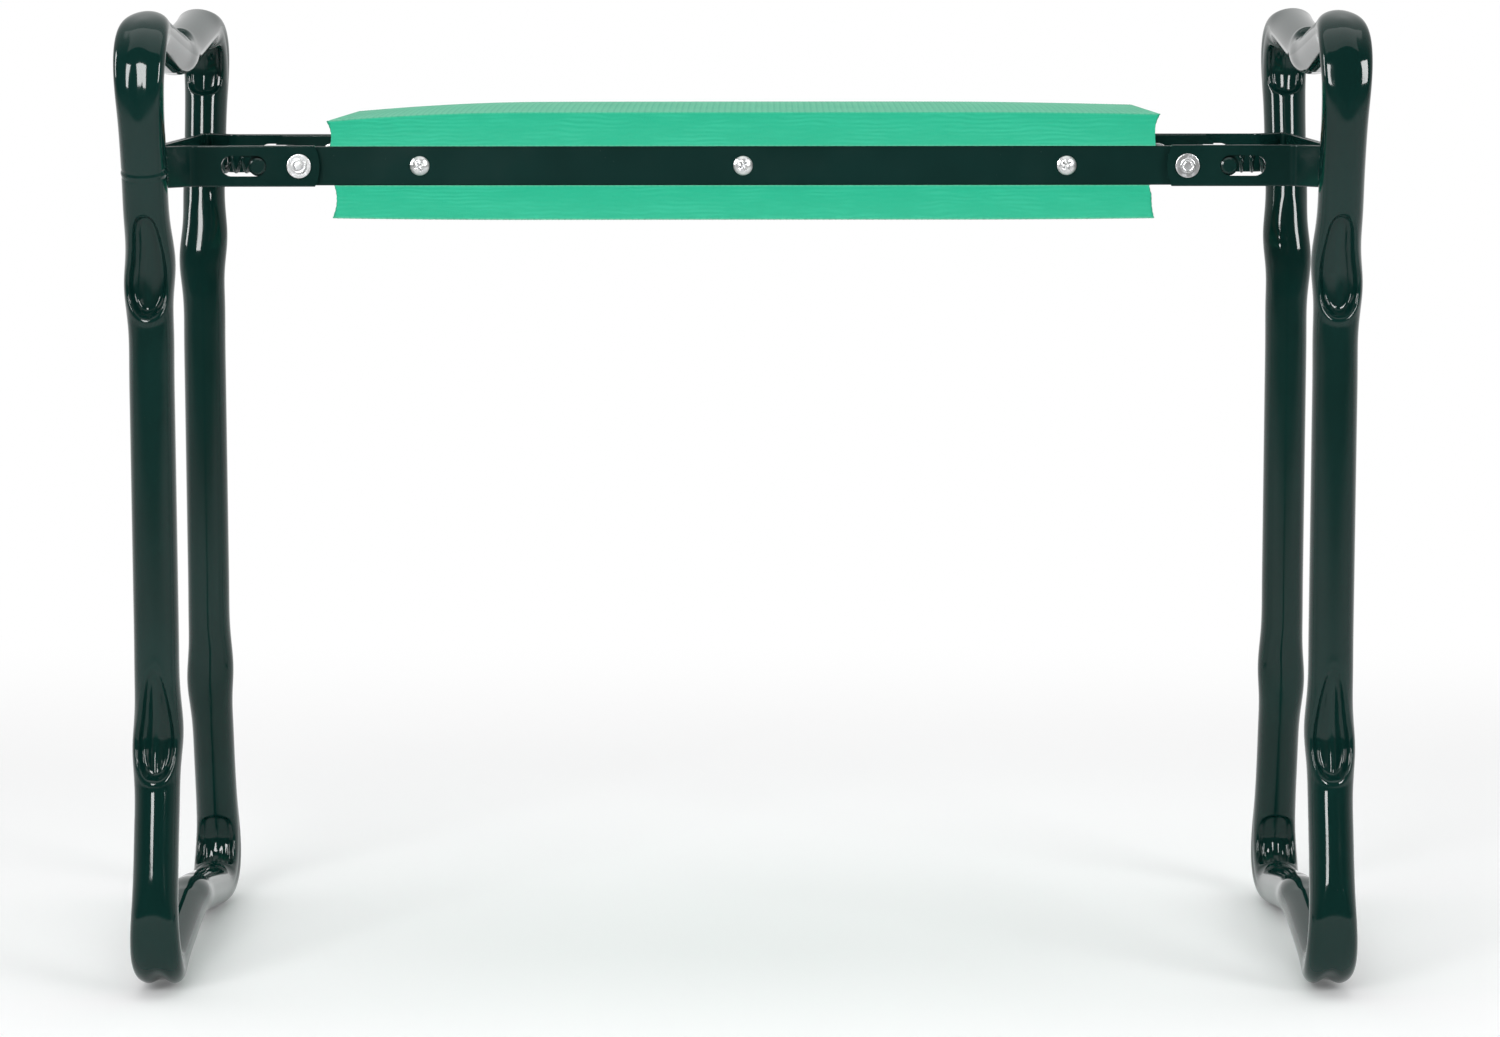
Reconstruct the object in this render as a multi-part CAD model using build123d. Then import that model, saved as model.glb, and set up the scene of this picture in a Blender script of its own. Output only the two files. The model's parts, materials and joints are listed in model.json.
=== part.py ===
from build123d import *
import os
from math import asin, atan2, cos, hypot, sin

# Garden kneeler seat: a padded bench on two folding tube legs.
# Millimetres, +Z up, X along the seat, -Y the front, origin on the floor under the middle of the seat.
# Every end part is modelled at the left end (-X); the right end is the same part turned half a turn about Z.

# Leg frame: one closed loop of round steel tube standing in a plane across the seat
overall_height = 480.0
overall_depth = 270.0
leg_plane_x = 287.0
tube_diameter = 22.0
tube_wall = 1.0
foot_depth_loss = 4.0           # the feet stand this much closer together than the handle's corners
waist_half_depth = 100.0        # tube centre at the narrow waist of the loop
upper_waist_z = 353.0
lower_waist_z = 125.0
corner_bend_radius = 26.0
waist_bend_radius = 60.0
bar_bend_radius = 45.0
handle_dip = 13.0               # the hand grip bows down in the middle, the foot bar bows up
foot_bar_rise = 14.0
seam_z = 402.5                  # height of the butt joint in the front upright
seam_gap = 0.3
sleeve_length = 30.0
sleeve_wall = 1.5
sleeve_clearance = 0.05

# Seat frame and folding joint
pivot_x = 216.0
joint_z = 404.0                 # height of the pivots, the lock rods and the rail screws
rail_height = 19.0
rail_thickness = 3.0
rail_outer_y = 80.0
rail_end_x = 245.0
rail_chamfer = 4.0
rail_edge_round = 0.6
board_half_length = 199.0

# Bracket strap: a flat strip bent to a necked U
strap_height = 20.0
strap_thickness = 2.5
strap_edge_round = 0.7
arm_gap = 0.9                   # from the rail's outer face to the arm's inner face
arm_end_x = 206.0
arm_end_radius = 22.0
arm_bend_x = 268.0
arm_bend_radius = 6.0
strap_base_x = 286.0
fold_half_width = 105.0         # where the lines of the base and the flare cross
fold_radius = 2.75
slot_length = 22.0
slot_height = 10.0
slot_centre_x = 242.9
weld_bead_radius = 2.6
# Each bead's centre: how far outboard of the base's middle, and how far inwards of the upright's inner side
outer_weld = (2.45, 1.2)
inner_weld = (-6.6, -1.0)

# Lock rod, return spring and its stud
rod_x = 236.2
rod_travel = 12.5
rod_end_diameter = 8.0
rod_middle_diameter = 10.5
rod_end_proud = 0.9
notch_clearance = 0.5
spring_diameter = 14.2
spring_wire = 1.6
spring_turns = 9.0
spring_seat_gap = 0.1
stud_diameter = 8.0
stud_length = 24.0

# Pivot rivets and washers
rivet_diameter = 6.0
running_clearance = 0.05
rivet_head_diameter = 7.4
rivet_head_height = 1.0
rivet_boss_diameter = 4.0
rivet_boss_height = 0.4
rivet_tail_diameter = 10.5
rivet_tail_height = 1.6
washer_diameter = 11.8
washer_thickness = 0.9
spacer_diameter = 13.0
spacer_thickness = 0.8
face_clearance = 0.1

# Rail screws
screw_pitch = 157.5
screw_count = 3
screw_head_diameter = 9.4
screw_head_height = 2.8
screw_rim_height = 0.7
screw_shank_diameter = 4.0
screw_length = 28.0
screw_hole_clearance = 0.3
recess_span = 4.8
recess_width = 1.0
recess_depth = 1.7

# Pads
upper_pad_length = 405.0
lower_pad_length = 400.0
pad_depth = 160.0
pad_thickness = 17.0
pad_corner_radius = 2.0

# Worked out from the above
tube_radius = tube_diameter / 2
tube_bore_radius = tube_radius - tube_wall
rail_inner_y = rail_outer_y - rail_thickness
arm_inner_y = rail_outer_y + arm_gap
arm_outer_y = arm_inner_y + strap_thickness
arm_middle_y = arm_inner_y + strap_thickness / 2
rod_end_radius = rod_end_diameter / 2
rod_middle_radius = rod_middle_diameter / 2
upper_pad_z = joint_z + rail_height / 2
lower_pad_z = joint_z - rail_height / 2 - pad_thickness

os.makedirs("parts", exist_ok=True)


def save(name, solids):
    """Write one node; several solids make a group."""
    solids = list(solids) if isinstance(solids, (list, tuple)) else [solids]
    shape = solids[0] if len(solids) == 1 else Compound(children=solids)
    shape.label = name
    export_step(shape, f"parts/{name}.step")


def save_ends(name, left_solids):
    """Write the left part and the right one, which is the same part turned half a turn about Z."""
    left_solids = left_solids if isinstance(left_solids, (list, tuple)) else [left_solids]
    save(f"left_{name}", left_solids)
    save(f"right_{name}", [solid.rotate(Axis.Z, 180) for solid in left_solids])


def y_cylinder(x, z, radius, y_from, y_to):
    """A cylinder along Y."""
    axis = Plane(origin=(x, min(y_from, y_to), z), x_dir=(1, 0, 0), z_dir=(0, 1, 0))
    return extrude(axis * Circle(radius), abs(y_to - y_from))


def x_cylinder(z, radius, x_from, x_to):
    """A cylinder along X on the middle plane of the seat."""
    axis = Plane(origin=(min(x_from, x_to), 0, z), x_dir=(0, 1, 0), z_dir=(1, 0, 0))
    return extrude(axis * Circle(radius), abs(x_to - x_from))


def tangent_corner(centre, radius, start, finish):
    """The point where two lines cross that touch a circle's far side and pass through start and finish."""
    lines = []
    for (py, pz), side in ((start, -1), (finish, 1)):
        dy, dz = centre[0] - py, centre[1] - pz
        angle = atan2(dz, dy) + side * asin(radius / hypot(dy, dz))
        lines.append((py, pz, cos(angle), sin(angle)))
    (ay, az, uy, uz), (by, bz, vy, vz) = lines
    along = ((by - ay) * vz - (bz - az) * vy) / (uy * vz - uz * vy)
    return (ay + along * uy, az + along * uz)


# --- Leg frame -----------------------------------------------------------------------------------

# The loop's rear half as (y, z); the front half mirrors it
top_reach = overall_depth / 2 - tube_radius
foot_reach = top_reach - foot_depth_loss / 2
handle_middle = (0.0, overall_height - tube_radius - handle_dip)
foot_middle = (0.0, tube_radius + foot_bar_rise)
upper_waist = (waist_half_depth, upper_waist_z)
lower_waist = (waist_half_depth, lower_waist_z)
handle_corner = tangent_corner(
    (top_reach - corner_bend_radius, overall_height - tube_radius - corner_bend_radius),
    corner_bend_radius, upper_waist, handle_middle)
foot_corner = tangent_corner(
    (foot_reach - corner_bend_radius, tube_radius + corner_bend_radius),
    corner_bend_radius, foot_middle, lower_waist)

# Direction of the leaning upright that carries the seam and the bracket, upwards along the front of the loop
lean_y = -(handle_corner[0] - upper_waist[0])
lean_z = handle_corner[1] - upper_waist[1]
lean_length = hypot(lean_y, lean_z)
lean = Vector(0, lean_y / lean_length, lean_z / lean_length)


def upright_centre(z):
    """Centre of the front upright at a height between the waist and the handle's corner."""
    return Vector(-leg_plane_x, -waist_half_depth + lean_y * (z - upper_waist_z) / lean_z, z)


def leg_tube(outer_radius, inner_radius):
    """The tube, bent from one length whose two ends meet at the seam."""
    rear = [handle_corner, upper_waist, lower_waist, foot_corner]
    loop = [(-y, z) for y, z in rear[:1]] + [handle_middle] + rear + [foot_middle]
    loop += [(-y, z) for y, z in reversed(rear[1:])]
    seam = upright_centre(seam_z)
    ends = [seam + lean * seam_gap / 2, seam - lean * seam_gap / 2]
    points = [ends[0]] + [Vector(-leg_plane_x, y, z) for y, z in loop] + [ends[1]]
    corner, waist, bar = corner_bend_radius, waist_bend_radius, bar_bend_radius
    radii = [corner, bar, corner, waist, waist, corner, bar, corner, waist, waist]
    path = FilletPolyline(*points, radius=radii)
    section = Circle(outer_radius) - Circle(inner_radius)
    return sweep(Plane(origin=path @ 0, z_dir=path % 0) * section, path=path)


def joint_sleeve():
    """A short inner tube that lines up the two tube ends at the seam."""
    outer = tube_bore_radius - sleeve_clearance
    start = upright_centre(seam_z) - lean * sleeve_length / 2
    ring = Circle(outer) - Circle(outer - sleeve_wall)
    return extrude(Plane(origin=start, z_dir=lean) * ring, sleeve_length)


def upright_rod(side):
    """The upright's outside as a plain bar over the height of the bracket, front (-1) or rear (+1)."""
    start = upright_centre(joint_z - 2 * strap_height)
    bar = extrude(Plane(origin=start, z_dir=lean) * Circle(tube_radius), 4 * strap_height)
    return bar if side < 0 else bar.mirror(Plane.XZ)


# --- Bracket strap -------------------------------------------------------------------------------

def bracket_strap():
    """Two arms beside the rails, flared out to the uprights, folded sharply back and joined by the base."""
    half = [(-arm_end_x + strap_height, -arm_middle_y), (-arm_bend_x, -arm_middle_y),
            (-strap_base_x, -fold_half_width)]
    points = half + [(x, -y) for x, y in reversed(half)]
    path = FilletPolyline(*[(x, y, joint_z) for x, y in points],
                          radius=[arm_bend_radius, fold_radius, fold_radius, arm_bend_radius])
    start = Plane(origin=path @ 0, x_dir=(0, 0, 1), z_dir=path % 0)
    strap = sweep(start * RectangleRounded(strap_height, strap_thickness, strap_edge_round), path=path)

    # The arms' ends are gentle arcs past the pivots
    across = Plane(origin=(0, 0, joint_z), x_dir=(1, 0, 0), z_dir=(0, -1, 0))
    end_disc = Pos(-arm_end_x - arm_end_radius, 0) * Circle(arm_end_radius)
    outboard_middle_x = -arm_end_x - arm_end_radius - leg_plane_x / 2
    outboard = Pos(outboard_middle_x, 0) * Rectangle(leg_plane_x, 3 * arm_end_radius)
    strap = strap & extrude(across * (end_disc + outboard), fold_half_width + tube_radius, both=True)

    slot = Pos(-slot_centre_x, 0) * SlotOverall(slot_length, slot_height)
    eye = Pos(-pivot_x, 0) * Circle(rivet_diameter / 2 + running_clearance)
    strap -= extrude(across * (slot + eye), arm_outer_y + strap_thickness, both=True)
    return strap - upright_rod(-1) - upright_rod(1)


def weld_beads(strap):
    """A bead on each side of both folds, laid between the strap and the leaning upright."""
    beads = []
    start_z = joint_z - strap_height / 2 + weld_bead_radius
    bead_height = strap_height - 2 * weld_bead_radius
    for side in (-1, 1):
        for outboard, inwards in (outer_weld, inner_weld):
            inner_side_y = upright_centre(start_z).Y + tube_radius
            root = Vector(-strap_base_x - outboard, inner_side_y + inwards, start_z)
            bead = extrude(Plane(origin=root, z_dir=lean) * Circle(weld_bead_radius), bead_height)
            bead = bead if side < 0 else bead.mirror(Plane.XZ)
            bead = bead - upright_rod(side) - strap
            beads.append(max(bead.solids(), key=lambda solid: solid.volume))
    return beads


# --- Seat frame ----------------------------------------------------------------------------------

def seat_rail(side):
    """A flat steel rail; each end is a hook over the lock rod, open below so that the leg can fold."""
    half_height = rail_height / 2
    flat = Rectangle(2 * rail_end_x, rail_height)
    gap = rod_end_radius + notch_clearance
    sweep_inner = rod_x - pivot_x - gap
    cutter_side = rail_chamfer * 2 ** 0.5
    for end in (-1, 1):
        below = Pos(end * (rod_x + rail_end_x) / 2, gap / 2 - rail_height) * \
            Rectangle(rail_end_x - rod_x + 1, 2 * rail_height + gap)
        swing = Pos(end * (pivot_x + rail_end_x) / 2, -rail_height) * \
            Rectangle(rail_end_x - pivot_x + 1, 2 * rail_height)
        swing -= Pos(end * pivot_x, 0) * Circle(sweep_inner)
        flat -= below + swing + Pos(end * rod_x, 0) * Circle(gap)
        flat -= Pos(end * pivot_x, 0) * Circle(rivet_diameter / 2 + running_clearance / 2)
        flat -= Pos(end * rail_end_x, half_height) * Rectangle(cutter_side, cutter_side, rotation=45)
    for number in range(screw_count):
        x = (number - (screw_count - 1) / 2) * screw_pitch
        flat -= Pos(x, 0) * Circle(screw_shank_diameter / 2 + screw_hole_clearance)
    face = Plane(origin=(0, side * rail_outer_y, joint_z), x_dir=(1, 0, 0), z_dir=(0, -1, 0))
    rail = extrude(face * flat, side * rail_thickness)
    long_edges = rail.edges().filter_by(Axis.X).filter_by(lambda edge: edge.length > pivot_x)
    return fillet(long_edges, rail_edge_round)


def core_board():
    """The board between the pads, which the rail screws bite into."""
    board = Pos(0, 0, joint_z) * Box(2 * board_half_length, 2 * rail_inner_y, rail_height)
    for number in range(screw_count):
        x = (number - (screw_count - 1) / 2) * screw_pitch
        for side in (-1, 1):
            tip = side * (rail_outer_y - screw_length)
            board -= y_cylinder(x, joint_z, screw_shank_diameter / 2 + running_clearance / 2,
                                tip, side * (rail_inner_y + 1))
    return board


def pad(length, bottom_z):
    """A slab of foam with slightly rounded upright corners."""
    return extrude(Pos(0, 0, bottom_z) * RectangleRounded(length, pad_depth, pad_corner_radius), pad_thickness)


def rail_screw(x, side):
    """A domed screw with a cross recess, driven through the rail into the board."""
    radius, rim, height = screw_head_diameter / 2, screw_rim_height, screw_head_height
    dome_radius = (radius ** 2 + (height - rim) ** 2) / (2 * (height - rim))
    half_way = (radius / 2, height - dome_radius + (dome_radius ** 2 - radius ** 2 / 4) ** 0.5)
    outline = Polyline((0, -screw_length), (screw_shank_diameter / 2, -screw_length),
                       (screw_shank_diameter / 2, 0), (radius, 0), (radius, rim))
    dome = ThreePointArc((radius, rim), half_way, (0, height))
    section = make_face(outline + dome + Line((0, height), (0, -screw_length)))
    screw = revolve(Plane.XZ * section, Axis.Z)
    for span in ((recess_span, recess_width), (recess_width, recess_span)):
        screw -= Pos(0, 0, height) * Box(*span, 2 * recess_depth)
    return Plane(origin=(x, side * rail_outer_y, joint_z), x_dir=(1, 0, 0), z_dir=(0, side, 0)) * screw


# --- Folding joint -------------------------------------------------------------------------------

def pivot_rivet(side):
    """A rivet peened over outside the washer, with its tail formed behind the rail."""
    head_y = arm_outer_y + face_clearance + washer_thickness
    radius = rivet_diameter / 2
    solid = y_cylinder(-pivot_x, joint_z, radius, side * rail_inner_y, side * head_y)
    solid += y_cylinder(-pivot_x, joint_z, rivet_head_diameter / 2, side * head_y,
                        side * (head_y + rivet_head_height))
    boss_y = head_y + rivet_head_height
    solid += y_cylinder(-pivot_x, joint_z, rivet_boss_diameter / 2, side * boss_y,
                        side * (boss_y + rivet_boss_height))
    solid += y_cylinder(-pivot_x, joint_z, rivet_tail_diameter / 2, side * rail_inner_y,
                        side * (rail_inner_y - rivet_tail_height))
    return solid


def pivot_ring(side, diameter, inner_y, thickness):
    """A washer on the rivet's shank."""
    hole = rivet_diameter / 2 + running_clearance / 2
    return y_cylinder(-pivot_x, joint_z, diameter / 2, side * inner_y, side * (inner_y + thickness)) - \
        y_cylinder(-pivot_x, joint_z, hole, side * (inner_y - 1), side * (inner_y + thickness + 1))


def lock_rod():
    """The cross rod: its thinner ends lie in the rails' hooks and the straps' slots."""
    shoulder_y = rail_inner_y - notch_clearance
    end_y = arm_outer_y + rod_end_proud
    thin = y_cylinder(-rod_x, joint_z, rod_end_radius, -end_y, end_y)
    thin = chamfer(thin.edges().filter_by(GeomType.CIRCLE), rod_end_proud)
    return thin + y_cylinder(-rod_x, joint_z, rod_middle_radius, -shoulder_y, shoulder_y)


def spring_stud():
    """A pin on the strap's base that keeps the spring in line."""
    base_x = -strap_base_x + strap_thickness / 2
    stud = x_cylinder(joint_z, stud_diameter / 2, base_x, base_x + stud_length)
    tip = stud.edges().filter_by(GeomType.CIRCLE).sort_by(Axis.X)[-1]
    return chamfer(tip, stud_diameter / 8)


def lock_spring():
    """The compression spring that pushes the lock rod towards the seat."""
    far = strap_base_x - strap_thickness / 2 - spring_seat_gap - spring_wire / 2
    near = rod_x + rod_middle_radius + spring_seat_gap + spring_wire / 2
    mean_radius = (spring_diameter - spring_wire) / 2
    coil = Helix(pitch=(far - near) / spring_turns, height=far - near, radius=mean_radius)
    wire_section = Plane(origin=coil @ 0, z_dir=coil % 0) * Circle(spring_wire / 2)
    spring = sweep(wire_section, path=coil, is_frenet=True)
    return Plane(origin=(-far, 0, joint_z), x_dir=(0, 1, 0), z_dir=(1, 0, 0)) * spring


# --- Write the nodes -----------------------------------------------------------------------------

save_ends("leg_frame", leg_tube(tube_radius, tube_bore_radius))
save_ends("joint_sleeve", joint_sleeve())
strap_solid = bracket_strap()
save_ends("bracket_strap", strap_solid)
save_ends("weld_beads", weld_beads(strap_solid))
save_ends("spring_stud", spring_stud())
save_ends("lock_spring", lock_spring())
save_ends("lock_rod", lock_rod())

for side_name, side in (("front", -1), ("rear", 1)):
    save(f"{side_name}_rail", seat_rail(side))
    screw_places = [(number - (screw_count - 1) / 2) * screw_pitch for number in range(screw_count)]
    save(f"{side_name}_rail_screws", [rail_screw(x, side) for x in screw_places])
    outer_washer_y = arm_outer_y + face_clearance
    for end_name, turned in (("left", False), ("right", True)):
        own_side = -side if turned else side
        pieces = {
            "pivot_rivet": pivot_rivet(own_side),
            "rivet_washer": pivot_ring(own_side, washer_diameter, outer_washer_y, washer_thickness),
            "pivot_spacer": pivot_ring(own_side, spacer_diameter, rail_outer_y, spacer_thickness),
        }
        for name, piece in pieces.items():
            save(f"{side_name}_{end_name}_{name}", piece.rotate(Axis.Z, 180) if turned else piece)

save("core_board", core_board())
save("upper_pad", pad(upper_pad_length, upper_pad_z))
save("lower_pad", pad(lower_pad_length, lower_pad_z))
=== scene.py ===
"""The looks of a garden kneeler seat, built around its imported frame.

Metres, +Z up, X along the seat, -Y the front, origin on the floor under the middle of the seat.
Each end part is worked out at the left end (-X); the right end is the same part turned half a turn about Z.
"""
from __future__ import annotations

import json
import logging
import math
from dataclasses import dataclass, field
from enum import Enum
from typing import Union

import bpy
import numpy as np
from mathutils import Matrix, Vector


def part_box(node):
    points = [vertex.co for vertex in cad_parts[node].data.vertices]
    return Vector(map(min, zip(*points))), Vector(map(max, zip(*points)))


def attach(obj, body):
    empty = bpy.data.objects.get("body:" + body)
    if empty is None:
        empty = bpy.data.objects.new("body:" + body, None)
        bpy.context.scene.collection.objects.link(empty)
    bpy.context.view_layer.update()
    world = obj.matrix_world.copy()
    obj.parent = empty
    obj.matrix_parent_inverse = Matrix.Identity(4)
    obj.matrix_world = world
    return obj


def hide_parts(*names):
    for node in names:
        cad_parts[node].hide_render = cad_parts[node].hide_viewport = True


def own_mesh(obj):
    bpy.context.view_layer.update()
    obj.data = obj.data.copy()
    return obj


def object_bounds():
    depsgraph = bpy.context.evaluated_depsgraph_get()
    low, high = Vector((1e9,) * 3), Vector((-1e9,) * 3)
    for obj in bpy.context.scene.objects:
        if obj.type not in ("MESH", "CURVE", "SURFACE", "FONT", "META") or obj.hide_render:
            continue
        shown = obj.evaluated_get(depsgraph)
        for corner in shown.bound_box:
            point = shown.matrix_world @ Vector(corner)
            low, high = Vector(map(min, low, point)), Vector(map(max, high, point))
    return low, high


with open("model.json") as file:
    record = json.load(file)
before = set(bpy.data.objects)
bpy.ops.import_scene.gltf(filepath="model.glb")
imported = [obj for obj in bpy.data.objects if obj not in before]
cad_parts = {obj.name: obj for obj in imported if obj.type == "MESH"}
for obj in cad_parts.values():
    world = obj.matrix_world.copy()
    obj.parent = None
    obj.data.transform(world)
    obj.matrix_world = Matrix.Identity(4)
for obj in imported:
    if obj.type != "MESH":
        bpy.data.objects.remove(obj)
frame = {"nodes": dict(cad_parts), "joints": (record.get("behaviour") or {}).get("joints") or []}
cad_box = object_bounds()

log = logging.getLogger("kneeler")

MM = 0.001
JOINTS = {joint["name"]: joint for joint in frame["joints"]}


class End(Enum):
    """The two ends of the seat, with the sign of their X."""

    LEFT = -1
    RIGHT = 1

    @property
    def label(self) -> str:
        """The end's name as the frame's nodes and bodies use it."""
        return self.name.lower()


class Side(Enum):
    """The two long sides of the seat, with the sign of their Y."""

    FRONT = -1
    REAR = 1

    @property
    def label(self) -> str:
        """The side's name as the frame's nodes use it."""
        return self.name.lower()


# --- Shader maths ----------------------------------------------------------------------------------

Number = Union[float, "Signal"]


class Signal:
    """A number that varies over a surface; Python operators on it add Math nodes."""

    def __init__(self, shader: "Shader", socket: bpy.types.NodeSocket) -> None:
        """Wraps one output socket of a shader's tree."""
        self.shader = shader
        self.socket = socket

    def _math(self, operation: str, *terms: Number) -> "Signal":
        """Adds one Math node.

        Args:
            operation: The node's operation.
            terms: The node's inputs in order, numbers or signals.

        Returns:
            The node's result.
        """
        return self.shader.node("ShaderNodeMath", {"operation": operation}, dict(enumerate(terms)))

    def __add__(self, other: Number) -> "Signal":
        """self + other."""
        return self._math("ADD", self, other)

    def __sub__(self, other: Number) -> "Signal":
        """self - other."""
        return self._math("SUBTRACT", self, other)

    def __rsub__(self, other: Number) -> "Signal":
        """other - self."""
        return self._math("SUBTRACT", other, self)

    def __mul__(self, other: Number) -> "Signal":
        """self * other."""
        return self._math("MULTIPLY", self, other)

    __radd__ = __add__
    __rmul__ = __mul__

    def sine(self) -> "Signal":
        """The sine of the signal."""
        return self._math("SINE", self)

    def larger(self, other: Number) -> "Signal":
        """The larger of self and other."""
        return self._math("MAXIMUM", self, other)

    def rise(self, low: float, high: float) -> "Signal":
        """Climbs smoothly from 0 at low to 1 at high, or falls where low is the larger.

        Args:
            low: The value that gives 0.
            high: The value that gives 1.

        Returns:
            The climbing signal.
        """
        settings = {"interpolation_type": "SMOOTHSTEP"}
        values = {"Value": self, "From Min": low, "From Max": high}
        return self.shader.node("ShaderNodeMapRange", settings, values, "Result")


class Shader:
    """The node tree of a material or of the surroundings, and its closing shader."""

    def __init__(self, owner: Union[bpy.types.Material, bpy.types.World], closing: str) -> None:
        """Takes the tree of an owner whose closing shader has that name.

        Args:
            owner: The material or world.
            closing: The name of the shader that its output shows.
        """
        owner.use_nodes = True
        self.owner = owner
        self.tree = owner.node_tree
        self.surface = self.tree.nodes[closing]

    @classmethod
    def for_material(cls, name: str) -> "Shader":
        """The shader of a new material of that name."""
        return cls(bpy.data.materials.new(name), "Principled BSDF")

    @classmethod
    def for_world(cls, name: str) -> "Shader":
        """The shader of new surroundings of that name."""
        return cls(bpy.data.worlds.new(name), "Background")

    def node(self, kind: str, settings: dict, values: dict, output: Union[int, str] = 0) -> Signal:
        """Adds a node.

        Args:
            kind: The node's type.
            settings: The node's own settings, set first.
            values: What each input holds, by its number, identifier or name: a value, or a signal to link.
            output: The output wanted, by its number, identifier or name.

        Returns:
            That output as a signal.
        """
        made = self.tree.nodes.new(kind)
        for key, value in settings.items():
            setattr(made, key, value)
        for key, value in values.items():
            self.join(_socket(made.inputs, key), value)
        return Signal(self, _socket(made.outputs, output))

    def join(self, socket: bpy.types.NodeSocket, value: object) -> None:
        """Links a signal to an input, or sets the input's own value.

        Args:
            socket: The input.
            value: A signal, or the value.
        """
        if isinstance(value, Signal):
            self.tree.links.new(value.socket, socket)
        else:
            socket.default_value = value

    def set(self, **values: object) -> None:
        """Sets or links the closing shader's inputs.

        Args:
            values: What each input takes, under its name in lower case with underscores.
        """
        names = {socket.name.lower().replace(" ", "_"): socket for socket in self.surface.inputs}
        for key, value in values.items():
            self.join(names[key], value)

    def place(self, stretch: tuple = (1.0, 1.0, 1.0)) -> Signal:
        """The point on the object, in metres, with each axis multiplied by its stretch."""
        point = self.node("ShaderNodeTexCoord", {}, {}, "Object")
        return self.node("ShaderNodeVectorMath", {"operation": "MULTIPLY"}, {0: point, 1: stretch})

    def noise(self, scale: float, detail: float = 2.0, stretch: tuple = (1.0, 1.0, 1.0)) -> Signal:
        """Cloudy noise from 0 to 1, with scale lumps to the metre."""
        values = {"Vector": self.place(stretch), "Scale": scale, "Detail": detail}
        return self.node("ShaderNodeTexNoise", {}, values, "Fac")

    def cells(self, scale: float) -> Signal:
        """The distance to the nearest of scattered points, scale of them to the metre."""
        values = {"Vector": self.place(), "Scale": scale}
        return self.node("ShaderNodeTexVoronoi", {"feature": "F1"}, values, "Distance")

    def mix(self, share: Number, first: object, second: object) -> Signal:
        """The colour first where share is 0, turning to second where it is 1."""
        values = {"Factor_Float": share, "A_Color": first, "B_Color": second}
        return self.node("ShaderNodeMix", {"data_type": "RGBA"}, values, "Result_Color")

    def bump(self, height: Signal, depth: float) -> Signal:
        """A surface direction tilted by a height map; depth is the height of 1, in metres."""
        values = {"Strength": 1.0, "Distance": depth, "Height": height}
        return self.node("ShaderNodeBump", {}, values, "Normal")


def _socket(sockets: bpy.types.bpy_prop_collection, key: Union[int, str]) -> bpy.types.NodeSocket:
    """Finds a socket by number, identifier or name.

    Args:
        sockets: A node's inputs or outputs.
        key: The number, identifier or name.

    Returns:
        The socket.
    """
    if isinstance(key, int):
        return sockets[key]
    return next((socket for socket in sockets if socket.identifier == key), None) or sockets[key]


# --- Finishes --------------------------------------------------------------------------------------

@dataclass(frozen=True)
class Enamel:
    """Glossy bottle-green stoving enamel over steel, with orange peel and a few specks of dust."""

    name: str
    colour: tuple = (0.0030, 0.0218, 0.0182, 1.0)
    thin_colour: tuple = (0.0038, 0.0265, 0.0225, 1.0)
    roughness: float = 0.055
    peel_scale: float = 190.0
    peel_depth: float = 0.012 * MM
    index: float = 1.31
    coat: float = 0.06

    def material(self) -> bpy.types.Material:
        """Builds the node tree.

        Returns:
            The finished material.
        """
        shader = Shader.for_material(self.name)
        cloud = shader.noise(14.0, 3.0)
        peel = shader.noise(self.peel_scale, 1.5)
        haze = shader.noise(55.0, 4.0)
        specks = shader.cells(260.0).rise(0.10, 0.04)
        rare = shader.noise(31.0).rise(0.60, 0.66)
        dust = specks * rare
        shader.set(
            base_color=shader.mix(cloud.rise(0.35, 0.65), self.colour, self.thin_colour),
            roughness=self.roughness + haze.rise(0.40, 0.75) * 0.05 + dust * 0.25,
            ior=self.index,
            coat_weight=self.coat - dust * 0.05,
            coat_roughness=0.035,
            normal=shader.bump(peel + dust * 1.5, self.peel_depth),
        )
        return shader.owner


@dataclass(frozen=True)
class ZincPlate:
    """Bright zinc plate on turned steel: fine rings left by the tool, cloudy passivation, small dings."""

    name: str
    bright: tuple = (0.64, 0.65, 0.64, 1.0)
    dull: tuple = (0.54, 0.55, 0.56, 1.0)
    roughness: float = 0.29
    grain_depth: float = 0.002 * MM

    def material(self) -> bpy.types.Material:
        """Builds the node tree.

        Returns:
            The finished material.
        """
        shader = Shader.for_material(self.name)
        cloud = shader.noise(420.0, 4.0)
        grain = shader.noise(1900.0, 2.0, (1.0, 0.15, 1.0))
        shader.set(
            base_color=shader.mix(cloud.rise(0.32, 0.68), self.bright, self.dull),
            metallic=1.0,
            roughness=self.roughness + cloud.rise(0.4, 0.8) * 0.16,
            normal=shader.bump(grain + cloud * 0.6, self.grain_depth),
        )
        return shader.owner


@dataclass(frozen=True)
class BareSteel:
    """Cold-drawn steel with lengthwise draw lines and a trace of oil."""

    name: str
    light: tuple = (0.36, 0.37, 0.38, 1.0)
    dark: tuple = (0.16, 0.16, 0.17, 1.0)
    roughness: float = 0.33
    line_depth: float = 0.012 * MM

    def material(self) -> bpy.types.Material:
        """Builds the node tree.

        Returns:
            The finished material.
        """
        shader = Shader.for_material(self.name)
        lines = shader.noise(900.0, 3.0, (1.0, 1.0, 0.04))
        oil = shader.noise(60.0, 3.0)
        shader.set(
            base_color=shader.mix(lines.rise(0.3, 0.7), self.light, self.dark),
            metallic=1.0,
            roughness=self.roughness + oil.rise(0.35, 0.7) * 0.2,
            normal=shader.bump(lines, self.line_depth),
        )
        return shader.owner


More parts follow.
